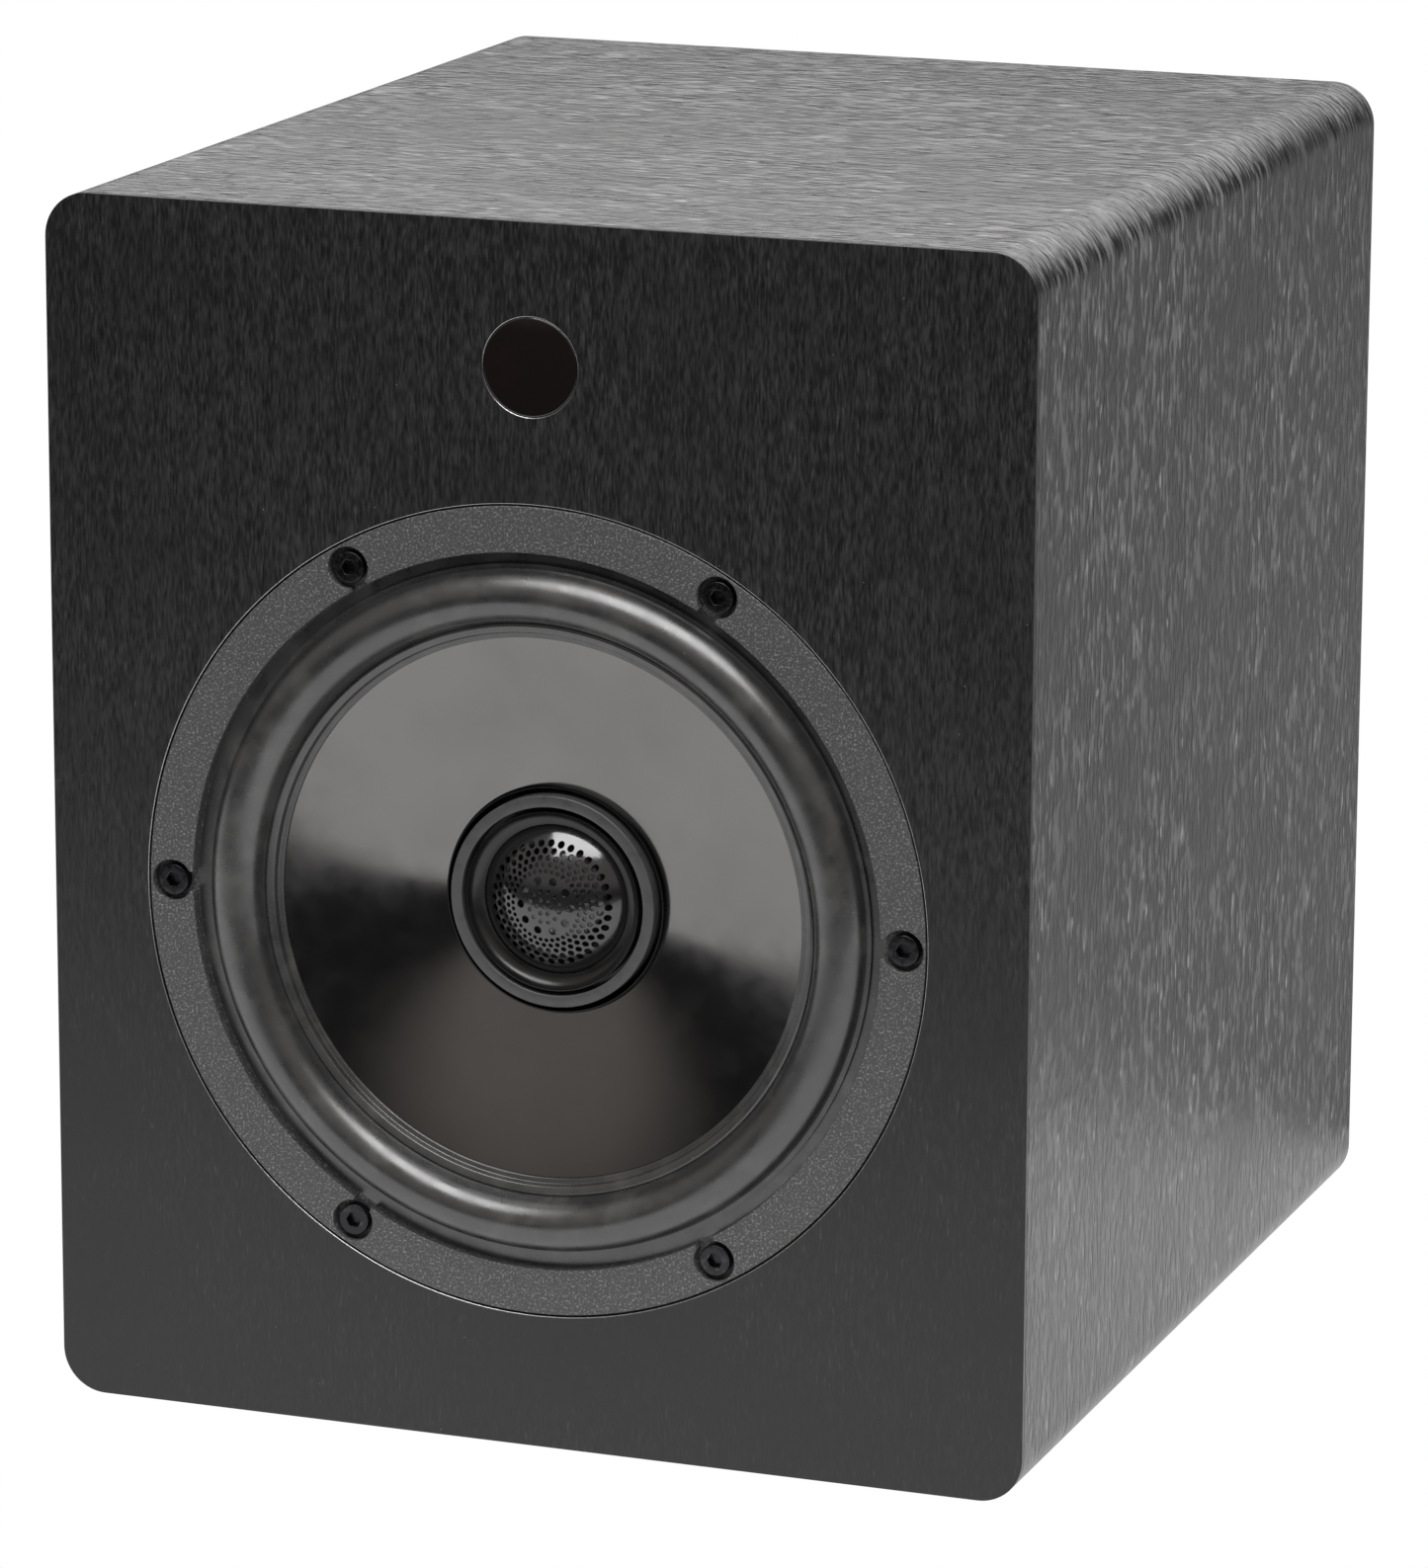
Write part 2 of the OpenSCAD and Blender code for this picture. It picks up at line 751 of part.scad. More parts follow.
// corrugated centring disc
module spider() {
    front = spider_depth - spider_t;
    wave_from = former_out_r + spider_foot;
    wave_to = landing_in_r;
    steps = spider_waves * 8;
    wave = [for (i = [0 : steps])
        [wave_from + (wave_to - wave_from) * i / steps,
            front + spider_wave * sin(360 * spider_waves * i / steps)]];
    profile = concat([[former_out_r, front]], wave, [[spider_r, front]]);
    back = [for (i = [len(profile) - 1 : -1 : 0]) profile[i] + [0, spider_t]];
    color("goldenrod") turned() polygon(concat(profile, back));
}

module top_plate() {
    bore = winding_r + coil_gap;
    color(bare_steel) turned() translate([bore, top_plate_depth]) square([top_plate_r - bore, top_plate_t]);
}

module ferrite_magnet() {
    color(ferrite_grey) turned() translate([magnet_hole_r, magnet_depth])
        square([magnet_r - magnet_hole_r, magnet_t]);
}

module pole_yoke() {
    color(bare_steel) turned() polygon([[pole_bore_r, top_plate_depth], [pole_r, top_plate_depth],
        [pole_r, yoke_depth], [yoke_r, yoke_depth], [yoke_r, yoke_back], [pole_bore_r, yoke_back]]);
}

module terminal_strip() {
    front = shoulder_depth + shoulder_t;
    color("saddlebrown") {
        block(0, strip_z, strip_w, strip_h, front, front + strip_t);
        for (sx = [-1, 1])
            block(sx * tab_pitch / 2, strip_z - 2, 0.8, 4.8, front + strip_t, front + strip_t + tab_len);
    }
}

// two flexible braids from the terminal strip to the coil former
module tinsel_leads() {
    start = shoulder_depth + shoulder_t + vent_step + lead_r + 0.2;
    low = strip_z + strip_h / 2;
    high = driver_z - former_out_r - 0.3;
    color(copper) for (sx = [-1, 1])
        cable([[sx * 6, start, low], [sx * 6, start, low + 4], [sx * 7, start + 3, low + 13],
            [sx * 6, start + 5, (low + high) / 2 + 4], [sx * 4, start + 3, high - 9],
            [sx * 3, start, high - 4], [sx * 3, start, high]], lead_r, 6);
}

// ---------------------------------------------------------------- tweeter

module tweeter_housing() {
    color(black_plastic) turned() polygon([[bore_r, housing_depth], [housing_r, housing_depth],
        [housing_r, housing_back], [cable_bore_r, housing_back],
        [cable_bore_r, housing_floor], [bore_r, housing_floor]]);
}

module tweeter_waveguide() {
    bowl = [for (a = [0 : 10 : 90]) [guide_r - bowl_w * (1 - cos(a)), guide_depth + bowl_depth * sin(a)]];
    seat_in = guide_in_r - mesh_seat_w;
    color(black_plastic) turned() polygon(concat(bowl, [[guide_in_r, mesh_seat], [seat_in, mesh_seat],
        [seat_in, guide_back], [bore_r, guide_back], [bore_r, guide_flange], [guide_r, guide_flange]]));
}

// perforated dome in front of the tweeter
module tweeter_mesh() {
    color(black_plastic) difference() {
        turned() intersection() {
            translate([0, mesh_front + mesh_ball_r]) difference() {
                circle(mesh_ball_r, $fn = fine);
                circle(mesh_ball_r - mesh_t, $fn = fine);
            }
            translate([0, mesh_front - over]) square([mesh_rim_r, mesh_seat - mesh_front + over]);
        }
        for (ring = mesh_rings, p = ring_places(ring[0], ring[1], ring[3])) mesh_hole(p, ring[2]);
    }
}

module mesh_hole(place, r) {
    bar(place[0], place[1], r, mesh_front - over, mesh_seat, 16);
}

module tweeter_dome() {
    color("silver") turned() {
        intersection() {
            translate([0, dome_front + dome_ball_r]) difference() {
                circle(dome_ball_r, $fn = fine);
                circle(dome_ball_r - film_t, $fn = fine);
            }
            translate([0, dome_front - over]) square([dome_r, dome_h + over]);
        }
        translate([dome_r - film_t, dome_base - film_t]) square([film_t, dome_skirt + film_t]);
    }
}

module tweeter_surround() {
    roll_out = tweeter_roll_mid + tweeter_roll_r;
    color(black_plastic) turned() {
        translate([tweeter_roll_mid, guide_back]) difference() {
            circle(tweeter_roll_r, $fn = 32);
            circle(tweeter_roll_r - film_t, $fn = 32);
            translate([-2, 0]) square([4, 2]);
        }
        translate([dome_r, guide_back - 0.1]) square([film_t, film_t + 0.1]);
        translate([roll_out - film_t, guide_back]) square([tweeter_film_r - roll_out + film_t, film_t]);
    }
}

module tweeter_coil() {
    color(copper) turned() translate([dome_r - tweeter_coil_t / 2, dome_base + dome_skirt])
        square([tweeter_coil_t, tweeter_coil_len]);
}

module tweeter_pole_disc() {
    back = cup_floor - tweeter_magnet_t;
    color(bare_steel) turned() translate([0, back - pole_disc_t]) square([pole_disc_r, pole_disc_t]);
}

module tweeter_magnet() {
    color("silver") turned() translate([0, cup_floor - tweeter_magnet_t])
        square([tweeter_magnet_r, tweeter_magnet_t]);
}

module tweeter_cup() {
    color(bare_steel) turned() polygon([[cup_bore_r, cup_depth], [cup_r, cup_depth], [cup_r, housing_floor],
        [0, housing_floor], [0, cup_floor], [cup_bore_r, cup_floor]]);
}

// tube that carries the tweeter on the woofer's pole
module tweeter_post() {
    color("silver") turned() polygon([[cable_bore_r, housing_back], [post_r, housing_back],
        [post_r, top_plate_depth], [pole_bore_r, top_plate_depth],
        [pole_bore_r, top_plate_depth + post_spigot], [cable_bore_r, top_plate_depth + post_spigot]]);
}

// ---------------------------------------------------------------- wiring

module wiring_harness() {
    strip_back = shoulder_depth + shoulder_t + strip_t + tab_len;
    inlet_back = body_d - inlet_len - pin_tail;
    toroid_top = room_foot + toroid_h;
    color("darkred") {
        // woofer pair, from the terminal strip to the amplifier board
        for (sx = [-1, 1]) cable([
            [sx * tab_pitch / 2, strip_back, strip_z - 2],
            [sx * tab_pitch / 2, strip_back + 8, strip_z - 2],
            [sx * 5 - 8, yoke_back - 10, strip_z + 2],
            [sx * 3 - 20, brace_depth, max(strip_z + 12, toroid_top + 4)],
            [sx * 3 - 30, toroid_depth, max(strip_z + 28, toroid_top + 18)],
            [sx * 3 - 36, pcb_depth - 30, pcb_z - 55],
            [sx * 3 - 36, pcb_depth - 12, pcb_z - 37],
            [sx * 3 - 36, pcb_depth, pcb_z - 37]
        ], 1.2, 6);
    }
    color("dimgray") {
        // tweeter cable, through the post and the pole
        cable([
            [0, housing_floor, driver_z],
            [0, housing_back + 10, driver_z],
            [0, yoke_depth, driver_z],
            [0, yoke_back + 12, driver_z],
            [-4, brace_depth + 20, driver_z - 4],
            [-16, pcb_depth - 40, driver_z + 8],
            [-20, pcb_depth - 12, pcb_z - 34],
            [-20, pcb_depth, pcb_z - 34]
        ], 1.8, 8);
        // sensor cable
        cable([
            [8, baffle_back + board_standoff + pcb_t, window_z - 10],
            [8, baffle_back + 20, window_z - 10],
            [6, brace_depth - 30, room_top - brace_rim - 8],
            [4, brace_depth + 20, room_top - brace_rim - 10],
            [-50, pcb_depth - 50, pcb_z + 34],
            [-60, pcb_depth - 12, pcb_z + 34],
            [-60, pcb_depth, pcb_z + 34]
        ], 1.5, 6);
    }
    color("navy") {
        // mains pair, from the inlet's pins to the transformer
        for (sx = [-1, 1]) cable([
            [inlet_x + sx * pin_pitch / 2, inlet_back, inlet_cavity_z - pin_rise],
            [inlet_x + sx * pin_pitch / 2, inlet_back - 6, inlet_cavity_z - pin_rise],
            [inlet_x - 8 + sx * 4, toroid_depth + 26, toroid_top + 12],
            [toroid_r / 2 + 6 + sx * 3, toroid_depth, toroid_top + 8],
            [toroid_r / 2 + 6 + sx * 3, toroid_depth, toroid_top]
        ], 1.2, 6);
        // secondary pair, from the transformer to the amplifier board
        for (sx = [-1, 1]) cable([
            [sx * 3, toroid_depth - 26, toroid_top],
            [sx * 3, toroid_depth - 26, toroid_top + 8],
            [sx * 3 + 10, pcb_depth - 36, toroid_top + 34],
            [sx * 3 + 20, pcb_depth - 20, pcb_z - 50],
            [sx * 3 + 20, pcb_depth - 10, pcb_z - 36],
            [sx * 3 + 20, pcb_depth, pcb_z - 36]
        ], 1.2, 6);
    }
    color("gray") {
        // signal cable, from the input socket to the amplifier board
        cable([
            [xlr_x, body_d - xlr_len, sockets_z],
            [xlr_x, body_d - xlr_len - 8, sockets_z],
            [xlr_x - 8, pcb_depth - 22, sockets_z + 24],
            [xlr_x - 10, pcb_depth - 12, pcb_z - 37],
            [xlr_x - 10, pcb_depth, pcb_z - 37]
        ], 1.8, 8);
    }
}

// ---------------------------------------------------------------- amplifier plate

module amp_plate() {
    color(brushed_black) difference() {
        between(amp_depth, body_d) rounded(amp_w, amp_h, amp_r, 0, mid_z);
        for (p = concat(plate_screw_places, xlr_screws))
            bar(p[0], p[1], small_shank_r, amp_depth - over, body_d + over);
        block(inlet_x, sockets_z, inlet_w + 0.4, inlet_h + 0.4, amp_depth - over, body_d + over);
        bar(xlr_x, sockets_z, xlr_body_r + 0.2, amp_depth - over, body_d + over);
        bar(knob_x, controls_z, bush_r, amp_depth - over, body_d + over);
        for (x = trim_x)
            block(x, controls_z, lever_slot_w(), lever_slot_h(), amp_depth - over, body_d + over);
    }
}

function lever_slot_w() = lever_size + 2 * trim_travel + 2 * slide_gap;
function lever_slot_h() = lever_size + 2 * slide_gap;

module plate_gasket() {
    color(black_plastic) difference() {
        between(gasket_depth, amp_depth) difference() {
            rounded(amp_w, amp_h, amp_r, 0, mid_z);
            translate([0, mid_z]) square([cut_w, cut_h], center = true);
        }
        for (p = plate_screw_places) bar(p[0], p[1], small_shank_r, gasket_depth - over, amp_depth + over);
    }
}

module pan_screw(place, face) {
    difference() {
        union() {
            bar(place[0], place[1], small_head_r, face, face + small_head_h);
            bar(place[0], place[1], small_shank_r, face - small_shank_len, face + 0.1);
        }
        bar(place[0], place[1], 1.15, face + 0.6, face + small_head_h + over, 6);
    }
}

module plate_screws() {
    color(black_plastic) {
        for (p = plate_screw_places) pan_screw(p, body_d);
        for (p = xlr_screws) pan_screw(p, body_d + xlr_flange_t);
    }
}

module heat_sink() {
    pitch = (sink_w - fin_t) / (fin_count - 1);
    color(brushed_black) {
        block(0, sink_z, sink_w, sink_h, body_d, body_d + sink_base);
        for (k = [0 : fin_count - 1])
            block(-sink_w / 2 + fin_t / 2 + k * pitch, sink_z, fin_t, sink_h,
                body_d + sink_base - 0.5, tail_depth);
    }
}

module mains_inlet() {
    floor_depth = inlet_face - inlet_cavity[2];
    color(black_plastic) difference() {
        union() {
            block(inlet_x, sockets_z, inlet_w, inlet_h, body_d - inlet_len, body_d + 0.5);
            between(body_d, inlet_face) rounded(inlet_flange_w, inlet_flange_h, 3, inlet_x, sockets_z);
        }
        block(inlet_x, inlet_cavity_z, inlet_cavity[0], inlet_cavity[1], floor_depth, inlet_face + over);
        for (p = pin_places)
            block(p[0], p[1], pin_size[0], pin_size[1], body_d - inlet_len - over, floor_depth + over);
        block(inlet_x, drawer_z, drawer_w + 2 * slide_gap, drawer_h + 2 * slide_gap,
            inlet_face - drawer_len - slide_gap, inlet_face + over);
        block(inlet_x, rocker_z, rocker_window[0], rocker_window[1], inlet_face - 12, inlet_face + over);
        placed() translate([inlet_x, rocker_pivot, rocker_z]) rotate([0, 90, 0])
            cylinder(r = trunnion_r + running_gap, h = rocker_w + 2 * (trunnion_len + slide_gap),
                center = true, $fn = 32);
    }
}

module inlet_pins() {
    color(brass) for (p = pin_places)
        block(p[0], p[1], pin_size[0], pin_size[1], body_d - inlet_len - pin_tail, pin_front);
}

module fuse_drawer() {
    back = inlet_face - drawer_len;
    lip_front = inlet_face + 0.2;
    color(black_plastic) difference() {
        union() {
            block(inlet_x, drawer_z, drawer_w, drawer_h, back, lip_front + 0.1);
            block(inlet_x, drawer_z, drawer_w + drawer_lip, drawer_h + drawer_lip,
                lip_front, lip_front + drawer_lip_t);
        }
        block(inlet_x, drawer_z + fuse_r, fuse_len + 2 * fuse_gap, 4 * fuse_r + 2 * fuse_gap,
            fuse_depth - fuse_r - fuse_gap, fuse_depth + fuse_r + fuse_gap);
        block(inlet_x, drawer_z + drawer_h / 2, 8, 2, lip_front + 0.7, lip_front + 3);
    }
}

module fuse() {
    color("lightgray") placed() translate([inlet_x, fuse_depth, drawer_z]) rotate([0, 90, 0])
        cylinder(r = fuse_r, h = fuse_len, center = true, $fn = 48);
}

// rocker with a shallow valley, resting with its upper half pressed in
module power_rocker() {
    half = rocker_h / 2;
    color("crimson") placed() translate([inlet_x, rocker_pivot, rocker_z]) rotate([rocker_tilt, 0, 0])
        rotate([0, 90, 0]) {
            linear_extrude(rocker_w, center = true)
                polygon([[-half, 5.5], [0, 4.4], [half, 5.5], [half, 1],
                    [half * 0.7, -4], [-half * 0.7, -4], [-half, 1]]);
            cylinder(r = trunnion_r, h = rocker_w + 2 * trunnion_len, center = true, $fn = 32);
        }
}

// shell with its flange, and the insert with the three contact holes
module xlr_socket() {
    back = body_d - xlr_len;
    color(black_plastic) {
        difference() {
            union() {
                between(body_d, body_d + xlr_flange_t)
                    rounded(xlr_flange_w, xlr_flange_h, 3, xlr_x, sockets_z);
                bar(xlr_x, sockets_z, xlr_body_r, back, xlr_face);
            }
            bar(xlr_x, sockets_z, xlr_ring_r, xlr_face - xlr_ring_depth, xlr_face + over);
            bar(xlr_x, sockets_z, xlr_core_r + running_gap, back - over, xlr_face);
            block(xlr_x, latch_z, latch_w + 2 * latch_gap, latch_t + 2 * latch_gap,
                body_d - 12, xlr_face + over);
            for (p = xlr_screws)
                bar(p[0], p[1], small_shank_r, body_d - over, body_d + xlr_flange_t + over);
        }
        difference() {
            bar(xlr_x, sockets_z, xlr_core_r, back, xlr_face);
            for (a = [-90, 30, 150])
                bar(xlr_x + xlr_hole_circle * cos(a), sockets_z + xlr_hole_circle * sin(a),
                    xlr_hole_r, xlr_face - 10, xlr_face + over, 24);
        }
    }
}

// release tab above the input socket
module xlr_latch() {
    pad_front = xlr_face + latch_stroke + 0.2;
    color("silver") {
        block(xlr_x, latch_z, latch_w, latch_t, body_d - 10, pad_front + 0.1);
        block(xlr_x, latch_z + 0.4, latch_w + 1.4, latch_t + 1.4, pad_front, pad_front + latch_pad);
    }
}

module gain_pot() {
    back = amp_depth - pot_len;
    color(bare_steel) difference() {
        union() {
            block(knob_x, controls_z, pot_w, pot_w, back, amp_depth);
            bar(knob_x, controls_z, bush_r, amp_depth - 0.5, body_d + nut_t);
            bar(knob_x, controls_z, nut_r, body_d, body_d + nut_t, 6);
        }
        bar(knob_x, controls_z, stem_r + running_gap, back + 2, body_d + nut_t + over);
    }
}

// fluted knob moulded in one piece with its stem
module gain_knob() {
    r = knob_d / 2;
    front = knob_back + knob_h;
    color(black_plastic) difference() {
        union() {
            turned(knob_x, controls_z) polygon([[0, knob_back], [r, knob_back],
                [r, front - 1.2], [r - 1.2, front], [0, front]]);
            bar(knob_x, controls_z, stem_r, amp_depth - pot_len + 2.5, knob_back + 0.5);
        }
        for (k = [0 : flute_count - 1])
            let (a = (k + 0.5) * 360 / flute_count)
            bar(knob_x + (r + 0.25) * cos(a), controls_z + (r + 0.25) * sin(a), flute_r,
                knob_back + 2, front + over, 24);
        block(knob_x, controls_z + r / 2 + 0.5, 1, r, front - 0.6, front + over);
    }
}

module trim_switch_bodies() {
    color(black_plastic) for (x = trim_x) difference() {
        block(x, controls_z, trim_w, trim_h, amp_depth - trim_len, amp_depth);
        block(x, controls_z, lever_slot_w(), lever_slot_h(),
            amp_depth - lever_foot - slide_gap, amp_depth + over);
    }
}

module trim_lever(x) {
    color("white") block(x, controls_z, lever_size, lever_size, amp_depth - lever_foot, body_d + lever_out);
}

module low_trim_lever() {
    trim_lever(trim_x[0]);
}

module high_trim_lever() {
    trim_lever(trim_x[1]);
}

// ---------------------------------------------------------------- electronics

module amp_board() {
    color(circuit_green) block(0, pcb_z, board_w, board_h, pcb_depth, pcb_depth + pcb_t);
}

module standoffs() {
    color(brass) for (sx = [-1, 1], sz = [-1, 1])
        bar(sx * (board_w / 2 - 5), pcb_z + sz * (board_h / 2 - 5), 3, pcb_depth + pcb_t, amp_depth, 6);
}

module transformer() {
    color("gold") placed() translate([0, toroid_depth, room_foot]) rotate_extrude($fn = fine)
        rounded(toroid_r - toroid_bore_r, toroid_h, 6, (toroid_r + toroid_bore_r) / 2, toroid_h / 2);
}

module capacitors() {
    color("midnightblue") for (k = [-1.5 : 1 : 1.5])
        bar(k * capacitor_pitch + 10, pcb_z, capacitor_r, pcb_depth - capacitor_len, pcb_depth, 48);
}

cabinet_skin();
front_plate();
front_baffle();
left_panel();
right_panel();
top_panel();
bottom_panel();
rear_panel();
cabinet_brace();
wadding();
window_lens();
lens_holder();
sensor_board();
ir_receiver();
status_led();
basket();
basket_gasket();
basket_screws();
threaded_inserts();
surround();
cone();
coil_former();
coil_winding();
spider();
top_plate();
ferrite_magnet();
pole_yoke();
terminal_strip();
tinsel_leads();
tweeter_housing();
tweeter_waveguide();
tweeter_mesh();
tweeter_dome();
tweeter_surround();
tweeter_coil();
tweeter_pole_disc();
tweeter_magnet();
tweeter_cup();
tweeter_post();
wiring_harness();
amp_plate();
plate_gasket();
plate_screws();
heat_sink();
mains_inlet();
inlet_pins();
fuse_drawer();
fuse();
power_rocker();
xlr_socket();
xlr_latch();
gain_pot();
gain_knob();
trim_switch_bodies();
low_trim_lever();
high_trim_lever();
amp_board();
standoffs();
transformer();
capacitors();
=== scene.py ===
"""Looks of the active bookshelf speaker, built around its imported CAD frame.

Lengths in mm are turned into metres by MM. "Depth" is the distance behind the front
plate's face, as in the CAD source, and every place comes from the boxes of CAD nodes.
"""

import json
import math

import bmesh
import bpy
from mathutils import Matrix, Vector
from mathutils import noise as mnoise

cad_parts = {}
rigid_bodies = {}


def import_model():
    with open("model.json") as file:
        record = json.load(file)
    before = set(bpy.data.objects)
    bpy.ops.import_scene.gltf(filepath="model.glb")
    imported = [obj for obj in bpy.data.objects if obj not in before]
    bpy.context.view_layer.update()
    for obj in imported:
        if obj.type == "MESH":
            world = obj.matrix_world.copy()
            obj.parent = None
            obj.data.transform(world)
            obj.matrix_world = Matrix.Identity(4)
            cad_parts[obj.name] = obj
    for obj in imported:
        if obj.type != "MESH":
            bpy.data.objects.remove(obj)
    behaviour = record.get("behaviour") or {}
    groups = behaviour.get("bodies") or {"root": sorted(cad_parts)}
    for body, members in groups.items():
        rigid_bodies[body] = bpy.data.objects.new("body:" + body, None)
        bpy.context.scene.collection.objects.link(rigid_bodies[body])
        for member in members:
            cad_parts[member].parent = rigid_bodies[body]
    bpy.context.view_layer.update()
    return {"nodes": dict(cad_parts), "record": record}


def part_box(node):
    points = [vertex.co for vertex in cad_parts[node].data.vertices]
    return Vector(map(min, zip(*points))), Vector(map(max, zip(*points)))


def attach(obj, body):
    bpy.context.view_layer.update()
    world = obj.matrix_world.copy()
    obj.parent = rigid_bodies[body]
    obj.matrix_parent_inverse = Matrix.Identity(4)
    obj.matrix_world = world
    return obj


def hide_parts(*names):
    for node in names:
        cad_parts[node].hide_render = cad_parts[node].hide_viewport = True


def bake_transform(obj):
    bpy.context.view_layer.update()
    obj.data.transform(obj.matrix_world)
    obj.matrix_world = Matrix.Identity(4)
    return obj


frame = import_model()

MM = 0.001
TAU = 2 * math.pi
NODES = frame["nodes"]
CABINET = "cabinet"

# ------------------------------------------------------------------ places from the frame


def size(node):
    """Low and high corners of a CAD node, in mm."""
    low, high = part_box(node)
    return low / MM, high / MM


def middle(node):
    low, high = size(node)
    return (low + high) / 2


FACE = size("front_plate")[0].y


def depth(node):
    """Front and back depth of a CAD node."""
    low, high = size(node)
    return low.y - FACE, high.y - FACE


def radius(node):
    """Outer radius of a CAD node that is round about the driver's axis."""
    low, high = size(node)
    return (high.x - low.x) / 2


DRIVER_Z = middle("basket").z
WINDOW_Z = middle("window_lens").z
BODY_LOW, BODY_HIGH = size("cabinet_skin")
BODY_W = BODY_HIGH.x - BODY_LOW.x
BODY_H = BODY_HIGH.z - BODY_LOW.z
BODY_D = BODY_HIGH.y - FACE

# ------------------------------------------------------------------ mesh helpers


def place(x, d, z):
    """A point in metres from x, depth and z in mm."""
    return Vector((x, FACE + d, z)) * MM


def make_object(name, mesh):
    piece = bpy.data.objects.new(name, mesh)
    bpy.context.scene.collection.objects.link(piece)
    return piece


def finish_mesh(bm, name, sharp=35):
    """Makes an object of a bmesh: smooth, but with edges over the sharp angle kept crisp."""
    bmesh.ops.remove_doubles(bm, verts=bm.verts, dist=1e-7)
    bmesh.ops.recalc_face_normals(bm, faces=bm.faces)
    limit = math.radians(sharp)
    for face in bm.faces:
        face.smooth = True
    for edge in bm.edges:
        edge.smooth = len(edge.link_faces) == 2 and edge.calc_face_angle(0) < limit
    mesh = bpy.data.meshes.new(name)
    bm.to_mesh(mesh)
    bm.free()
    return make_object(name, mesh)


def fillet(points, steps=4):
    """Rounds the corners of a closed outline. A point is (a, b) or (a, b, radius)."""
    out = []
    count = len(points)
    for i, point in enumerate(points):
        here = Vector(point[:2])
        r = point[2] if len(point) > 2 else 0
        if r <= 0:
            out.append(tuple(here))
            continue
        before = (Vector(points[i - 1][:2]) - here).normalized()
        after = (Vector(points[(i + 1) % count][:2]) - here).normalized()
        half = before.angle(after) / 2
        reach = r / math.tan(half)
        centre = here + (before + after).normalized() * r / math.sin(half)
        start = here + before * reach - centre
        end = here + after * reach - centre
        turn = start.angle_signed(end)
        for k in range(steps + 1):
            angle = -turn * k / steps
            c, s = math.cos(angle), math.sin(angle)
            out.append((centre.x + start.x * c - start.y * s, centre.y + start.x * s + start.y * c))
    return out


def lathe(name, profile, segments=192, x=0.0, z=None, sharp=35):
    """Turns a closed profile of (radius, depth) points about a fore-and-aft axis."""
    z = DRIVER_Z if z is None else z
    bm = bmesh.new()
    rings = []
    for r, d in profile:
        if r < 1e-6:
            rings.append([bm.verts.new(place(x, d, z))])
            continue
        ring = []
        for k in range(segments):
            a = TAU * k / segments
            ring.append(bm.verts.new(place(x + r * math.cos(a), d, z + r * math.sin(a))))
        rings.append(ring)
    for i, ring in enumerate(rings):
        other = rings[(i + 1) % len(rings)]
        if len(ring) == 1 and len(other) == 1:
            continue
        for k in range(segments):
            j = (k + 1) % segments
            if len(ring) == 1:
                bm.faces.new((ring[0], other[k], other[j]))
            elif len(other) == 1:
                bm.faces.new((ring[k], ring[j], other[0]))
            else:
                bm.faces.new((ring[k], ring[j], other[j], other[k]))
    return finish_mesh(bm, name, sharp)


def circle(r, x=0.0, z=0.0, count=96, start=0.0):
    """Outline of a circle, counter-clockwise, as (x, z) points."""
    return [
        (x + r * math.cos(start + TAU * k / count), z + r * math.sin(start + TAU * k / count))
        for k in range(count)
    ]


def rectangle(w, h, r, x=0.0, z=0.0, steps=8):
    """Outline of a rectangle with rounded corners."""
    w, h = w / 2, h / 2
    corners = [(x - w, z - h, r), (x + w, z - h, r), (x + w, z + h, r), (x - w, z + h, r)]
    return fillet(corners, steps)


def signed_area(loop):
    return sum(a[0] * b[1] - b[0] * a[1] for a, b in zip(loop, loop[1:] + loop[:1])) / 2


def inset(loop, distance):
    """Moves an outline into the material by a distance. The material is on its left."""
    out = []
    count = len(loop)
    for i in range(count):
        a, b, c = (Vector(loop[(i + k) % count]) for k in (-1, 0, 1))
        u, v = (b - a).normalized(), (c - b).normalized()
        n = Vector((-u.y - v.y, u.x + v.x))
        n = n / max(n.length_squared, 1e-9) * 2
        out.append(tuple(b + n * distance))
    return out


def plate(name, outlines, front, back, bevel, steps):
    """Flat plate between two depths with rounded edges. The first outline is the rim."""
    bm = bmesh.new()
    stations = []
    for k in range(steps + 1):
        a = math.pi / 2 * k / steps
        stations.append((front + bevel * (1 - math.sin(a)), bevel * (1 - math.cos(a))))
    stations = stations[::-1] + [(front + back - d, s) for d, s in stations]
    first_edges, last_edges = [], []
    for number, loop in enumerate(outlines):
        loop = list(loop)
        if (signed_area(loop) > 0) != (number == 0):
            loop.reverse()
        rows = []
        for d, s in stations:
            shape = inset(loop, s) if s > 1e-6 else loop
            rows.append([bm.verts.new(place(px, d, pz)) for px, pz in shape])
        for a, b in zip(rows, rows[1:]):
            for k in range(len(a)):
                j = (k + 1) % len(a)
                bm.faces.new((a[k], a[j], b[j], b[k]))
        for row, edges in ((rows[0], first_edges), (rows[-1], last_edges)):
            for k in range(len(row)):
                edges.append(bm.edges.get((row[k], row[(k + 1) % len(row)])))
    for edges in (first_edges, last_edges):
        bmesh.ops.triangle_fill(bm, use_beauty=True, use_dissolve=False, edges=edges)
    piece = finish_mesh(bm, name)
    even_normals(piece)
    return piece


def even_normals(piece):
    """Lets large flat faces keep their own shade next to rounded edges."""
    modifier = piece.modifiers.new("even_normals", "WEIGHTED_NORMAL")
    modifier.keep_sharp = True
    modifier.weight = 100


def apply_modifiers(piece):
    graph = bpy.context.evaluated_depsgraph_get()
    mesh = bpy.data.meshes.new_from_object(piece.evaluated_get(graph))
    piece.modifiers.clear()
    piece.data = mesh


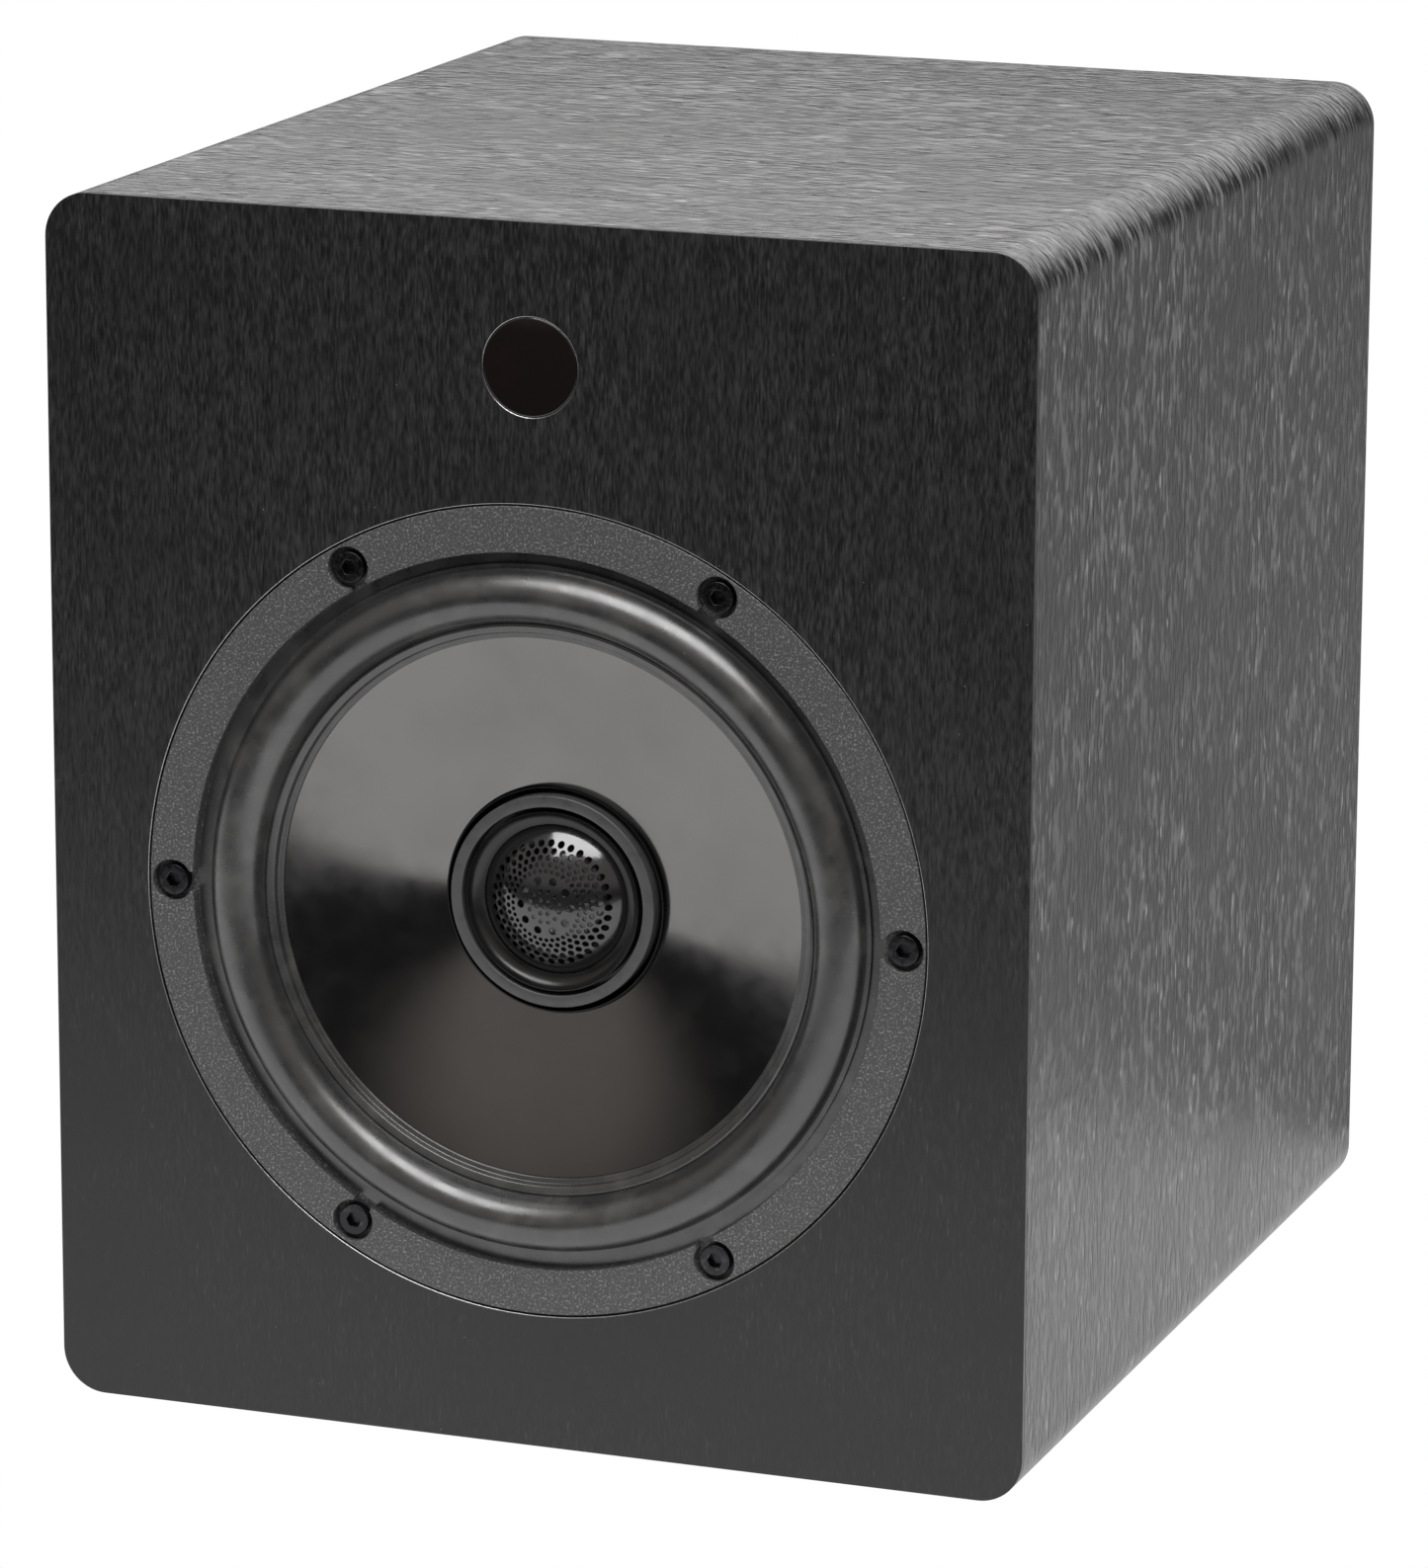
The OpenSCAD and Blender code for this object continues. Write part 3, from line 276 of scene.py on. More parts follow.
def join(name, pieces):
    """One object from several, with their modifiers applied."""
    bpy.context.view_layer.update()
    for piece in pieces:
        if piece.modifiers:
            apply_modifiers(piece)
    with bpy.context.temp_override(
        active_object=pieces[0], selected_editable_objects=pieces, selected_objects=pieces
    ):
        bpy.ops.object.join()
    pieces[0].name = name
    pieces[0].data.name = name
    return pieces[0]


def dress(piece, finish, body=CABINET, replaced=(), blended=False):
    """Gives a piece its material, its body and the CAD nodes it stands for."""
    piece.data.materials.clear()
    piece.data.materials.append(FINISHES[finish])
    if not blended:
        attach(piece, body)
    if replaced:
        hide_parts(*replaced)
    return piece


# ------------------------------------------------------------------ materials

TOOL_PITCH = 0.25


class Finish:
    """A node material built up on one Principled shader. Sizes are in mm, in the row frame."""

    def __init__(self, name, color, roughness, metallic=0.0, **fixed):
        self.material = bpy.data.materials.new(name)
        self.material.use_nodes = True
        self.nodes = self.material.node_tree.nodes
        self.links = self.material.node_tree.links
        self.shader = self.nodes["Principled BSDF"]
        self.base = (*color, 1.0)
        self.roughness = roughness
        self.shader.inputs["Base Color"].default_value = self.base
        self.shader.inputs["Roughness"].default_value = roughness
        self.shader.inputs["Metallic"].default_value = metallic
        for key, value in fixed.items():
            socket = self.shader.inputs[key.replace("_", " ").title().replace("Ior", "IOR")]
            socket.default_value = value
        self.point = self.nodes.new("ShaderNodeTexCoord").outputs["Object"]
        self.last_bump = None

    def link(self, a, b):
        self.links.new(a, b)

    def stretched(self, stretch):
        mapping = self.nodes.new("ShaderNodeMapping")
        mapping.inputs["Scale"].default_value = [1 / s for s in stretch]
        self.link(self.point, mapping.inputs["Vector"])
        return mapping.outputs["Vector"]

    def noise(self, grain, stretch=(1, 1, 1), detail=3.0, rough=0.55):
        """Cloudy noise whose features are about grain mm across."""
        node = self.nodes.new("ShaderNodeTexNoise")
        node.inputs["Scale"].default_value = 1 / (grain * MM)
        node.inputs["Detail"].default_value = detail
        node.inputs["Roughness"].default_value = rough
        self.link(self.stretched(stretch), node.inputs["Vector"])
        return node.outputs["Fac"]

    def cells(self, grain, feature="F1"):
        """Voronoi cells about grain mm across."""
        node = self.nodes.new("ShaderNodeTexVoronoi")
        node.feature = feature
        node.inputs["Scale"].default_value = 1 / (grain * MM)
        self.link(self.stretched((1, 1, 1)), node.inputs["Vector"])
        return node.outputs["Distance"]

    def waves(self, pitch, axis="X", form="BANDS", distortion=0.0):
        """Even ridges with a pitch in mm along an axis of the row frame."""
        node = self.nodes.new("ShaderNodeTexWave")
        node.wave_type = form
        if form == "BANDS":
            node.bands_direction = axis
        else:
            node.rings_direction = axis
        node.inputs["Scale"].default_value = TAU / 20 / (pitch * MM)
        node.inputs["Distortion"].default_value = distortion
        self.link(self.point, node.inputs["Vector"])
        return node.outputs["Fac"]

    def ramp(self, fac, low, high, start=0.0, end=1.0):
        """Straight ramp: fac at start gives low and at end gives high."""
        node = self.nodes.new("ShaderNodeMapRange")
        self.link(fac, node.inputs["Value"])
        node.inputs["From Min"].default_value = start
        node.inputs["From Max"].default_value = end
        node.inputs["To Min"].default_value = low
        node.inputs["To Max"].default_value = high
        return node.outputs["Result"]

    def math(self, kind, a, b):
        node = self.nodes.new("ShaderNodeMath")
        node.operation = kind
        for socket, value in zip(node.inputs, (a, b)):
            if isinstance(value, (int, float)):
                socket.default_value = value
            else:
                self.link(value, socket)
        return node.outputs["Value"]

    def tint(self, fac, color, start=0.0, end=1.0):
        """Mixes the base colour so far with another, by fac."""
        node = self.nodes.new("ShaderNodeMix")
        node.data_type = "RGBA"
        self.link(self.ramp(fac, 0.0, 1.0, start, end), node.inputs[0])
        before = self.shader.inputs["Base Color"]
        if before.is_linked:
            self.link(before.links[0].from_socket, node.inputs[6])
        else:
            node.inputs[6].default_value = self.base
        node.inputs[7].default_value = (*color, 1.0)
        self.link(node.outputs[2], before)
        return self

    def vary_roughness(self, fac, spread):
        """Swings the roughness by up to spread to each side, by fac."""
        low, high = self.roughness - spread, self.roughness + spread
        result = self.ramp(fac, max(low, 0.02), min(high, 1.0), 0.3, 0.7)
        self.link(result, self.shader.inputs["Roughness"])
        return self

    def bump(self, fac, height, strength=1.0):
        """Raises the surface by up to height mm."""
        node = self.nodes.new("ShaderNodeBump")
        node.inputs["Strength"].default_value = strength
        node.inputs["Distance"].default_value = height * MM
        self.link(fac, node.inputs["Height"])
        if self.last_bump:
            self.link(self.last_bump, node.inputs["Normal"])
        self.last_bump = node.outputs["Normal"]
        self.link(self.last_bump, self.shader.inputs["Normal"])
        return self

    def along(self, direction):
        """Sets the direction of the brushing for anisotropic gloss."""
        node = self.nodes.new("ShaderNodeCombineXYZ")
        for socket, value in zip(node.inputs, direction):
            socket.default_value = value
        self.link(node.outputs["Vector"], self.shader.inputs["Tangent"])
        return self

    def around(self):
        """Sets the brushing to run round the fore-and-aft axis."""
        node = self.nodes.new("ShaderNodeTangent")
        node.direction_type = "RADIAL"
        node.axis = "Y"
        self.link(node.outputs["Tangent"], self.shader.inputs["Tangent"])
        return self


def brushed(name, color, grain, stretch, light, dark, relief, **fixed):
    """Anodised metal with short brushed scratches, grain mm wide and drawn out by stretch."""
    f = Finish(name, color, 0.36, anisotropic=0.5, **fixed)
    fine = f.noise(grain, stretch, 1.0, 0.5)
    broad = f.noise(grain * 2.4, stretch, 2.0, 0.6)
    mixed = f.math("ADD", f.math("MULTIPLY", fine, 0.6), f.math("MULTIPLY", broad, 0.4))
    f.tint(mixed, [c * dark for c in color], 0.50, 0.42)
    f.tint(mixed, [c * light for c in color], 0.50, 0.60)
    f.tint(f.noise(grain * 1.2, stretch, 1.0, 0.5), [c * light * 2.2 for c in color], 0.66, 0.78)
    f.tint(f.noise(45, (1, 1, 1), 2.0), [c * 0.8 for c in color], 0.45, 0.75)
    f.vary_roughness(mixed, 0.12)
    f.bump(mixed, grain * relief, 0.9)
    dust = f.cells(6.0)
    f.tint(f.ramp(dust, 1.0, 0.0, 0.0, 0.03), (0.35, 0.35, 0.34), 0.2, 1.0)
    return f


def moulded(name, color, roughness, grain=0.35, height=0.03, **fixed):
    """Moulded plastic or rubber with a fine eroded texture."""
    f = Finish(name, color, roughness, **fixed)
    fine = f.noise(grain, detail=3.0)
    f.bump(fine, height, 0.6)
    f.vary_roughness(f.noise(grain * 30, detail=4.0), 0.07)
    f.tint(f.noise(grain * 45, detail=4.0), [min(1, c * 1.35 + 0.004) for c in color], 0.4, 0.8)
    return f


def machined(name, color, roughness, turned=False):
    """Bare or plated metal with faint tool lines and stains."""
    f = Finish(name, color, roughness, 1.0)
    if turned:
        f.bump(f.waves(TOOL_PITCH, "Y", "RINGS"), 0.004, 0.4)
    f.bump(f.noise(0.5, (1, 6, 1)), 0.004, 0.4)
    f.vary_roughness(f.noise(9, detail=5.0), 0.09)
    f.tint(f.noise(14, detail=5.0), [c * 0.72 for c in color], 0.5, 0.85)
    return f


def brushed_front():
    f = brushed("brushed_front", (0.007, 0.007, 0.0073), 0.5, (1, 1, 6), 1.8, 0.6, 0.045)
    return f.along((0, 0, 1))


def brushed_wrap():
    f = brushed("brushed_skin", (0.018, 0.0178, 0.018), 1.6, (3, 1, 3), 8.0, 0.15, 0.42)
    return f.around()


def cut_edge():
    f = Finish("cut_edge", (0.42, 0.42, 0.43), 0.28, 1.0)
    f.tint(f.noise(0.5, detail=3.0), (0.20, 0.20, 0.21), 0.45, 0.7)
    f.bump(f.noise(0.3, detail=3.0), 0.01, 0.5)
    return f


def fibreboard():
    f = Finish("board", (0.36, 0.25, 0.15), 0.8)
    fibres = f.noise(1.2, (1, 1, 1), 6.0, 0.7)
    f.tint(fibres, (0.20, 0.13, 0.07), 0.5, 0.75)
    f.tint(f.noise(0.6, (3, 1, 1), 3.0), (0.55, 0.42, 0.28), 0.6, 0.8)
    f.bump(fibres, 0.12, 0.6)
    return f


def painted_board():
    f = moulded("painted_board", (0.022, 0.022, 0.023), 0.62, 0.6, 0.06)
    f.tint(f.noise(2.5, (1, 4, 1), 4.0), (0.05, 0.045, 0.04), 0.6, 0.8)
    return f


def wadding_fill():
    f = Finish("wadding", (0.80, 0.78, 0.73), 0.95, sheen_weight=0.5)
    strands = f.noise(0.9, (3, 1, 3), 6.0, 0.75)
    f.bump(strands, 0.8, 0.8)
    f.bump(f.noise(9, detail=3.0), 2.0, 0.5)
    f.tint(strands, (0.93, 0.92, 0.9), 0.45, 0.7)
    f.tint(f.noise(16, detail=4.0), (0.62, 0.60, 0.55), 0.55, 0.8)
    return f


def window_acrylic():
    f = Finish("window", (0.006, 0.004, 0.004), 0.05, coat_weight=0.4, specular_ior_level=0.6)
    f.tint(f.noise(7, detail=1.0), (0.009, 0.004, 0.004), 0.5, 0.8)
    f.vary_roughness(f.noise(1.5, detail=6.0), 0.03)
    return f


def circuit_board():
    f = Finish("circuit_board", (0.020, 0.11, 0.055), 0.35, coat_weight=0.3)
    grid = f.cells(5.5, "DISTANCE_TO_EDGE")
    f.tint(f.ramp(grid, 1.0, 0.0, 0.03, 0.05), (0.045, 0.21, 0.10), 0.2, 0.8)
    f.tint(f.ramp(f.cells(3.2), 1.0, 0.0, 0.14, 0.16), (0.62, 0.60, 0.55), 0.5, 0.9)
    f.bump(grid, 0.03, 0.4)
    return f


def red_lens():
    f = Finish("red_lens", (0.42, 0.02, 0.015), 0.12, transmission_weight=0.3, coat_weight=0.5)
    f.vary_roughness(f.noise(1.0), 0.05)
    return f


def powder_coat():
    f = Finish("powder_coat", (0.045, 0.045, 0.046), 0.44, specular_ior_level=0.5)
    pebbles = f.noise(0.50, detail=2.5, rough=0.6)
    f.bump(pebbles, 0.24, 0.9)
    f.tint(pebbles, (0.20, 0.20, 0.202), 0.52, 0.70)
    f.vary_roughness(f.noise(0.9, detail=3.0), 0.10)
    return f


def foam():
    f = Finish("foam", (0.03, 0.03, 0.03), 0.9)
    pores = f.cells(0.55)
    f.bump(pores, 0.25, 0.8)
    f.tint(pores, (0.012, 0.012, 0.012), 0.3, 0.6)
    return f


def black_steel():
    f = Finish("black_steel", (0.035, 0.035, 0.038), 0.30, 1.0)
    f.vary_roughness(f.noise(0.8, detail=4.0), 0.10)
    f.bump(f.noise(0.25, detail=3.0), 0.012, 0.5)
    f.tint(f.noise(1.6, detail=5.0), (0.10, 0.10, 0.105), 0.58, 0.80)
    return f


def turned_brass():
    return machined("brass", (0.78, 0.57, 0.22), 0.28)


def surround_rubber():
    f = Finish("surround_rubber", (0.018, 0.018, 0.018), 0.29, specular_ior_level=1.0)
    f.bump(f.noise(0.30, detail=3.0), 0.022, 0.6)
    f.vary_roughness(f.noise(5, detail=4.0), 0.07)
    dust = f.cells(2.6)
    f.tint(f.ramp(dust, 1.0, 0.0, 0.0, 0.055), (0.30, 0.30, 0.29), 0.1, 1.0)
    f.tint(f.noise(11, detail=6.0), (0.055, 0.054, 0.052), 0.5, 0.8)
    return f


def cone_metal():
    f = Finish("cone_metal", (0.165, 0.162, 0.159), 0.13, 1.0, anisotropic=0.2)
    f.bump(f.waves(0.42, "Y", "RINGS"), 0.0006, 0.3)
    f.bump(f.noise(0.35, detail=2.0), 0.0022, 0.4)
    f.vary_roughness(f.noise(7, detail=4.0), 0.03)
    f.tint(f.noise(24, detail=3.0), (0.150, 0.147, 0.144), 0.4, 0.7)
    specks = f.cells(4.5)
    f.tint(f.ramp(specks, 1.0, 0.0, 0.0, 0.03), (0.40, 0.40, 0.39), 0.1, 1.0)
    return f.around()


def former_foil():
    f = Finish("former_foil", (0.018, 0.018, 0.019), 0.30, 0.8)
    f.bump(f.waves(0.6, "Y"), 0.01, 0.4)
    f.vary_roughness(f.noise(2.0), 0.06)
    return f


def copper_wire():
    f = Finish("copper", (0.72, 0.30, 0.14), 0.24, 1.0, coat_weight=0.6)
    f.bump(f.waves(0.36, "Y"), 0.12, 0.8)
    f.tint(f.noise(1.5, (1, 4, 1), 3.0), (0.42, 0.16, 0.07), 0.5, 0.8)
    return f


def spider_cloth():
    f = Finish("spider_cloth", (0.50, 0.36, 0.13), 0.75, sheen_weight=0.3)
    threads = f.math("MULTIPLY", f.waves(0.7, "X"), f.waves(0.7, "Z"))
    f.bump(threads, 0.16, 0.8)
    f.tint(threads, (0.30, 0.20, 0.06), 0.0, 0.5)
    f.tint(f.noise(5, detail=4.0), (0.62, 0.47, 0.20), 0.5, 0.8)
    return f


def plated_steel():
    return machined("plated_steel", (0.56, 0.57, 0.60), 0.30, True)


def ferrite():
    f = Finish("ferrite", (0.045, 0.045, 0.050), 0.55, 0.2)
    f.bump(f.noise(0.35, detail=4.0), 0.05, 0.7)
    f.tint(f.noise(3, detail=5.0), (0.10, 0.10, 0.11), 0.55, 0.85)
    return f


def phenolic():
    f = moulded("phenolic", (0.22, 0.10, 0.045), 0.5, 0.5, 0.03)
    f.tint(f.noise(0.8, (8, 1, 1), 3.0), (0.34, 0.17, 0.08), 0.5, 0.7)
    return f


def anodised_ring():
    f = Finish("anodised_ring", (0.055, 0.055, 0.056), 0.36, anisotropic=0.4)
    f.bump(f.waves(0.16, "Y", "RINGS"), 0.003, 0.5)
    f.bump(f.noise(0.2, detail=2.0), 0.006, 0.4)
    f.vary_roughness(f.noise(4, detail=4.0), 0.05)
    f.tint(f.noise(3, detail=4.0), (0.032, 0.032, 0.033), 0.5, 0.8)
    return f.around()


def guide_plastic():
    return moulded("guide_plastic", (0.005, 0.005, 0.005), 0.26, 0.25, 0.008)


def mesh_enamel():
    f = Finish("mesh_enamel", (0.010, 0.010, 0.011), 0.16, coat_weight=0.5, specular_ior_level=0.7)
    f.bump(f.noise(0.35, detail=3.0), 0.014, 0.5)
    f.vary_roughness(f.noise(2.0, detail=3.0), 0.05)
    return f


def dome_foil():
    f = Finish("dome_metal", (0.20, 0.20, 0.205), 0.26, 1.0)
    f.bump(f.noise(0.4, detail=3.0), 0.006, 0.4)
    f.vary_roughness(f.noise(3, detail=3.0), 0.05)
    return f


def cable_jacket():
    return moulded("cable_jacket", (0.045, 0.045, 0.048), 0.48, 0.4, 0.03)


def amp_plate_metal():
    f = Finish("amp_plate_metal", (0.045, 0.045, 0.047), 0.42, 0.7)
    blast = f.noise(0.22, detail=3.0, rough=0.6)
    f.bump(blast, 0.035, 0.8)
    f.tint(blast, (0.075, 0.075, 0.078), 0.5, 0.75)
    f.vary_roughness(f.noise(12, detail=5.0), 0.06)
    f.tint(dial_ticks(f, middle("gain_knob"), 10.6, 12.4), (0.62, 0.62, 0.60))
    return f


def dial_ticks(f, centre, inner, outer):
    """Mask of short radial lines printed round a knob, with a gap at the bottom."""
    count, spread, half_line = 11, 300, 0.3
    split = f.nodes.new("ShaderNodeSeparateXYZ")
    f.link(f.point, split.inputs["Vector"])
    across = f.math("SUBTRACT", split.outputs["X"], centre.x * MM)
    up = f.math("SUBTRACT", split.outputs["Z"], centre.z * MM)
    squares = f.math("ADD", f.math("MULTIPLY", across, across), f.math("MULTIPLY", up, up))
    reach = f.math("SQRT", squares, 0)
    angle = f.math("ARCTAN2", across, up)
    step = math.radians(spread / (count - 1))
    off = f.math("MULTIPLY", f.math("PINGPONG", angle, step / 2), reach)
    mask = f.math("LESS_THAN", off, half_line * MM)
    mask = f.math("MULTIPLY", mask, f.math("GREATER_THAN", reach, inner * MM))
    mask = f.math("MULTIPLY", mask, f.math("LESS_THAN", reach, outer * MM))
    within = f.math("LESS_THAN", f.math("ABSOLUTE", angle, 0), math.radians(spread / 2 + 5))
    return f.math("MULTIPLY", mask, within)


def fuse_glass():
    f = Finish("fuse_glass", (0.75, 0.77, 0.78), 0.08, coat_weight=0.4)
    low, high = size("fuse")
    reach = f.nodes.new("ShaderNodeSeparateXYZ")
    f.link(f.point, reach.inputs["Vector"])
    off = f.math("ABSOLUTE", f.math("SUBTRACT", reach.outputs["X"], (low.x + high.x) / 2 * MM), 0)
    cap = f.math("GREATER_THAN", off, ((high.x - low.x) / 2 - 5) * MM)
    f.tint(cap, (0.72, 0.70, 0.66))
    f.link(cap, f.shader.inputs["Metallic"])
    f.vary_roughness(f.noise(2), 0.04)
    return f


def rocker_plastic():
    return moulded("rocker_plastic", (0.022, 0.022, 0.024), 0.24, 0.5, 0.01, coat_weight=0.2)


def latch_metal():
    return machined("latch_metal", (0.70, 0.70, 0.72), 0.22)


def lever_plastic():
    return moulded("lever_plastic", (0.78, 0.78, 0.75), 0.32, 0.4, 0.01)


def transformer_tape():
    f = Finish("transformer_tape", (0.70, 0.55, 0.07), 0.32, coat_weight=0.4)
    f.bump(f.waves(1.5, "X", distortion=1.0), 0.25, 0.6)
    f.tint(f.noise(3, (1, 1, 3), 3.0), (0.50, 0.36, 0.03), 0.5, 0.8)
    f.vary_roughness(f.noise(5, detail=4.0), 0.08)
    return f


def capacitor_sleeve():
    f = Finish("capacitor_sleeve", (0.018, 0.024, 0.075), 0.28, coat_weight=0.3)
    f.bump(f.noise(1.2, detail=3.0), 0.03, 0.4)
    f.tint(f.noise(8, detail=3.0), (0.03, 0.04, 0.12), 0.5, 0.8)
    return f


FINISHES = {
    "brushed_skin": brushed_wrap().material,
    "board": fibreboard().material,
    "painted_board": painted_board().material,
    "wadding": wadding_fill().material,
    "window": window_acrylic().material,
    "black_plastic": moulded("black_plastic", (0.022, 0.022, 0.023), 0.42).material,
    "circuit_board": circuit_board().material,
    "red_lens": red_lens().material,
    "powder_coat": powder_coat().material,
    "foam": foam().material,
    "black_steel": black_steel().material,
    "brass": turned_brass().material,
    "surround_rubber": surround_rubber().material,
    "cone_metal": cone_metal().material,
    "former_foil": former_foil().material,
    "copper": copper_wire().material,
    "spider_cloth": spider_cloth().material,
    "plated_steel": plated_steel().material,
    "ferrite": ferrite().material,
    "phenolic": phenolic().material,
    "anodised_ring": anodised_ring().material,
    "guide_plastic": guide_plastic().material,
    "mesh_enamel": mesh_enamel().material,
    "dome_metal": dome_foil().material,
    "cable_jacket": cable_jacket().material,
    "amp_plate_metal": amp_plate_metal().material,
    "fuse_glass": fuse_glass().material,
    "rocker_plastic": rocker_plastic().material,
    "latch_metal": latch_metal().material,
    "lever_plastic": lever_plastic().material,
    "transformer_tape": transformer_tape().material,
    "capacitor_sleeve": capacitor_sleeve().material,
}

for part in frame["record"]["subparts"]:
    node = NODES[part["node"]]
    node.data.materials.clear()
    node.data.materials.append(FINISHES[part["material_slot"]])


def soften(node, width):
    """Rounds a CAD node's hard edges a little with modifiers; its own mesh stays as it is."""
    piece = NODES[node]
    weld = piece.modifiers.new("weld", "WELD")
    weld.merge_threshold = 1e-6
    bevel = piece.modifiers.new("soft_edges", "BEVEL")
    bevel.width = width * MM
    bevel.segments = 2
    bevel.limit_method = "ANGLE"
    bevel.angle_limit = math.radians(40)
    bevel.use_clamp_overlap = True
    bevel.harden_normals = True
    even_normals(piece)


SOFT_NODES = {
    0.4: ["mains_inlet", "xlr_socket", "power_rocker", "fuse_drawer", "heat_sink", "terminal_strip"],
    0.3: ["gain_knob", "gain_pot", "trim_switch_bodies", "low_trim_lever", "high_trim_lever", "amp_plate"],
    0.2: ["inlet_pins", "xlr_latch", "standoffs", "plate_screws", "threaded_inserts", "lens_holder"],
    0.15: ["amp_board", "sensor_board", "ir_receiver", "status_led", "tweeter_post"],
    0.6: ["top_plate", "pole_yoke", "ferrite_magnet", "tweeter_cup", "tweeter_magnet", "capacitors"],
    0.5: ["left_panel", "right_panel", "top_panel", "bottom_panel", "front_baffle", "rear_panel",
          "cabinet_brace"],
}
for width, nodes in SOFT_NODES.items():
    for node in nodes:
        soften(node, width)

# ------------------------------------------------------------------ cabinet

SKIN_T = (BODY_W - (size("right_panel")[1].x - size("left_panel")[0].x)) / 2
PLATE_T = depth("front_plate")[1]
CORNER_R = 10.0
MID_Z = (BODY_LOW.z + BODY_HIGH.z) / 2


def cabinet_wrap():
    """Brushed skin bent round the cabinet, as one long tube."""
    outer = rectangle(BODY_W, BODY_H, CORNER_R, 0, MID_Z, 14)
    inner = rectangle(BODY_W - 2 * SKIN_T, BODY_H - 2 * SKIN_T, CORNER_R - SKIN_T, 0, MID_Z, 14)
    piece = plate("cabinet_wrap", [outer, inner], PLATE_T, BODY_D, 0.12, 1)
    return dress(piece, "brushed_skin", replaced=["cabinet_skin"])


def front_panel():
    """Brushed front plate with bevelled holes for the driver and the window."""
    hole_r = radius("basket") + 0.4
    lens_r = (size("window_lens")[1].x - size("window_lens")[0].x) / 2 + 0.05
    rim = rectangle(BODY_W, BODY_H, CORNER_R, 0, MID_Z, 14)
    holes = [circle(hole_r, 0, DRIVER_Z, 256), circle(lens_r, 0, WINDOW_Z, 96)]
    piece = plate("front_panel", [rim, *holes], 0, PLATE_T, 0.22, 3)
    dress(piece, "brushed_skin", replaced=["front_plate"])
    piece.data.materials[0] = FRONT_FINISH
    piece.data.materials.append(CUT_EDGE)
    for face in piece.data.polygons:
        for r, z in ((hole_r, DRIVER_Z), (lens_r, WINDOW_Z)):
            off = math.hypot(face.center.x / MM, face.center.z / MM - z)
            if abs(off - r) < 0.3 and abs(face.normal.y) < 0.995:
                face.material_index = 1
    return piece


def wadding_blanket():
    """Soft blanket that lines both sides and the top, lumpy on its free face."""
    low, high = size("wadding")
    front, back = depth("wadding")
    thick, turn, slack, across = 14.2, 19.0, 0.1, 40
    left, right, top = low.x + slack, high.x - slack, high.z - slack
    leg = [low.z + slack + (top - turn - low.z) * k / 44 for k in range(44)]
    bends = [math.radians(90 * k / 12) for k in range(13)]
    path = [(left, z, 1, 0) for z in leg]
    for a in bends:
        c, s = math.cos(a), math.sin(a)
        path.append((left + turn - turn * c, top - turn + turn * s, c, -s))
    path += [(left + turn + (right - left - 2 * turn) * k / 40, top, 0, -1) for k in range(1, 40)]
    for a in bends:
        c, s = math.cos(a), math.sin(a)
        path.append((right - turn + turn * s, top - turn + turn * c, -s, -c))
    path += [(right, z, -1, 0) for z in reversed(leg)]
    bm = bmesh.new()
    rings = []
    for i, (x, z, nx, nz) in enumerate(path):
        end = min(i, len(path) - 1 - i) / 3
        shrink = math.sqrt(max(1 - max(1 - end, 0) ** 2, 0.02))
        ring = []
        for k in range(across):
            c, s = math.cos(TAU * k / across), math.sin(TAU * k / across)
            along = math.copysign(abs(c) ** 0.4, c) * shrink
            inward = math.copysign(abs(s) ** 0.4, s) * shrink
            lump = mnoise.noise(Vector((x, z, along * 30)) / 17)
            lump += 0.5 * mnoise.noise(Vector((x, z, along * 30)) / 6)
            w = thick / 2 * (1 + inward * (0.84 + 0.13 * lump if inward > 0 else 0.97))
            d = (front + back) / 2 + (back - front) / 2 * along * (0.96 + 0.03 * lump)
            ring.append(bm.verts.new(place(x + nx * w, d, z + nz * w)))
        rings.append(ring)
    for a, b in zip(rings, rings[1:]):
        for k in range(across):
            j = (k + 1) % across
            bm.faces.new((a[k], a[j], b[j], b[k]))
    bm.faces.new(rings[0][::-1])
    bm.faces.new(rings[-1])
    piece = finish_mesh(bm, "wadding_blanket", 70)
    dress(piece, "wadding", replaced=["wadding"])
    return piece


FRONT_FINISH = brushed_front().material
CUT_EDGE = cut_edge().material
cabinet_wrap()
front_panel()
wadding_blanket()

# ------------------------------------------------------------------ sensor window


def window_disc():
    low, high = size("window_lens")
    front, back = depth("window_lens")
    r = (high.x - low.x) / 2
    profile = fillet([(0, front), (r, front, 0.35), (r, back, 0.2), (0, back)], 3)
    return dress(lathe("window_disc", profile, 128, 0, WINDOW_Z), "window", replaced=["window_lens"])


window_disc()

# ------------------------------------------------------------------ woofer

FLANGE_R = radius("basket")
LEDGE = depth("surround")
SEAT_R = radius("surround") + 0.2
CONE_FRONT, CONE_BACK = depth("cone")
RIM_R = radius("cone")
NECK_R = radius("coil_former")
SCREW_R = (size("basket_screws")[1].x - size("basket_screws")[0].x) / 2
HEAD_R = 3.5
SCREW_CIRCLE = SCREW_R - HEAD_R
HEAD_FRONT = depth("basket_screws")[0]
HEAD_H = 2.8
SOCKET_DEPTH = 1.8
KEY_HALF = 1.5
THREAD_R = 2.0
CONE_RIM = 4.9
SCREW_ANGLES = [TAU * k / 6 for k in range(6)]


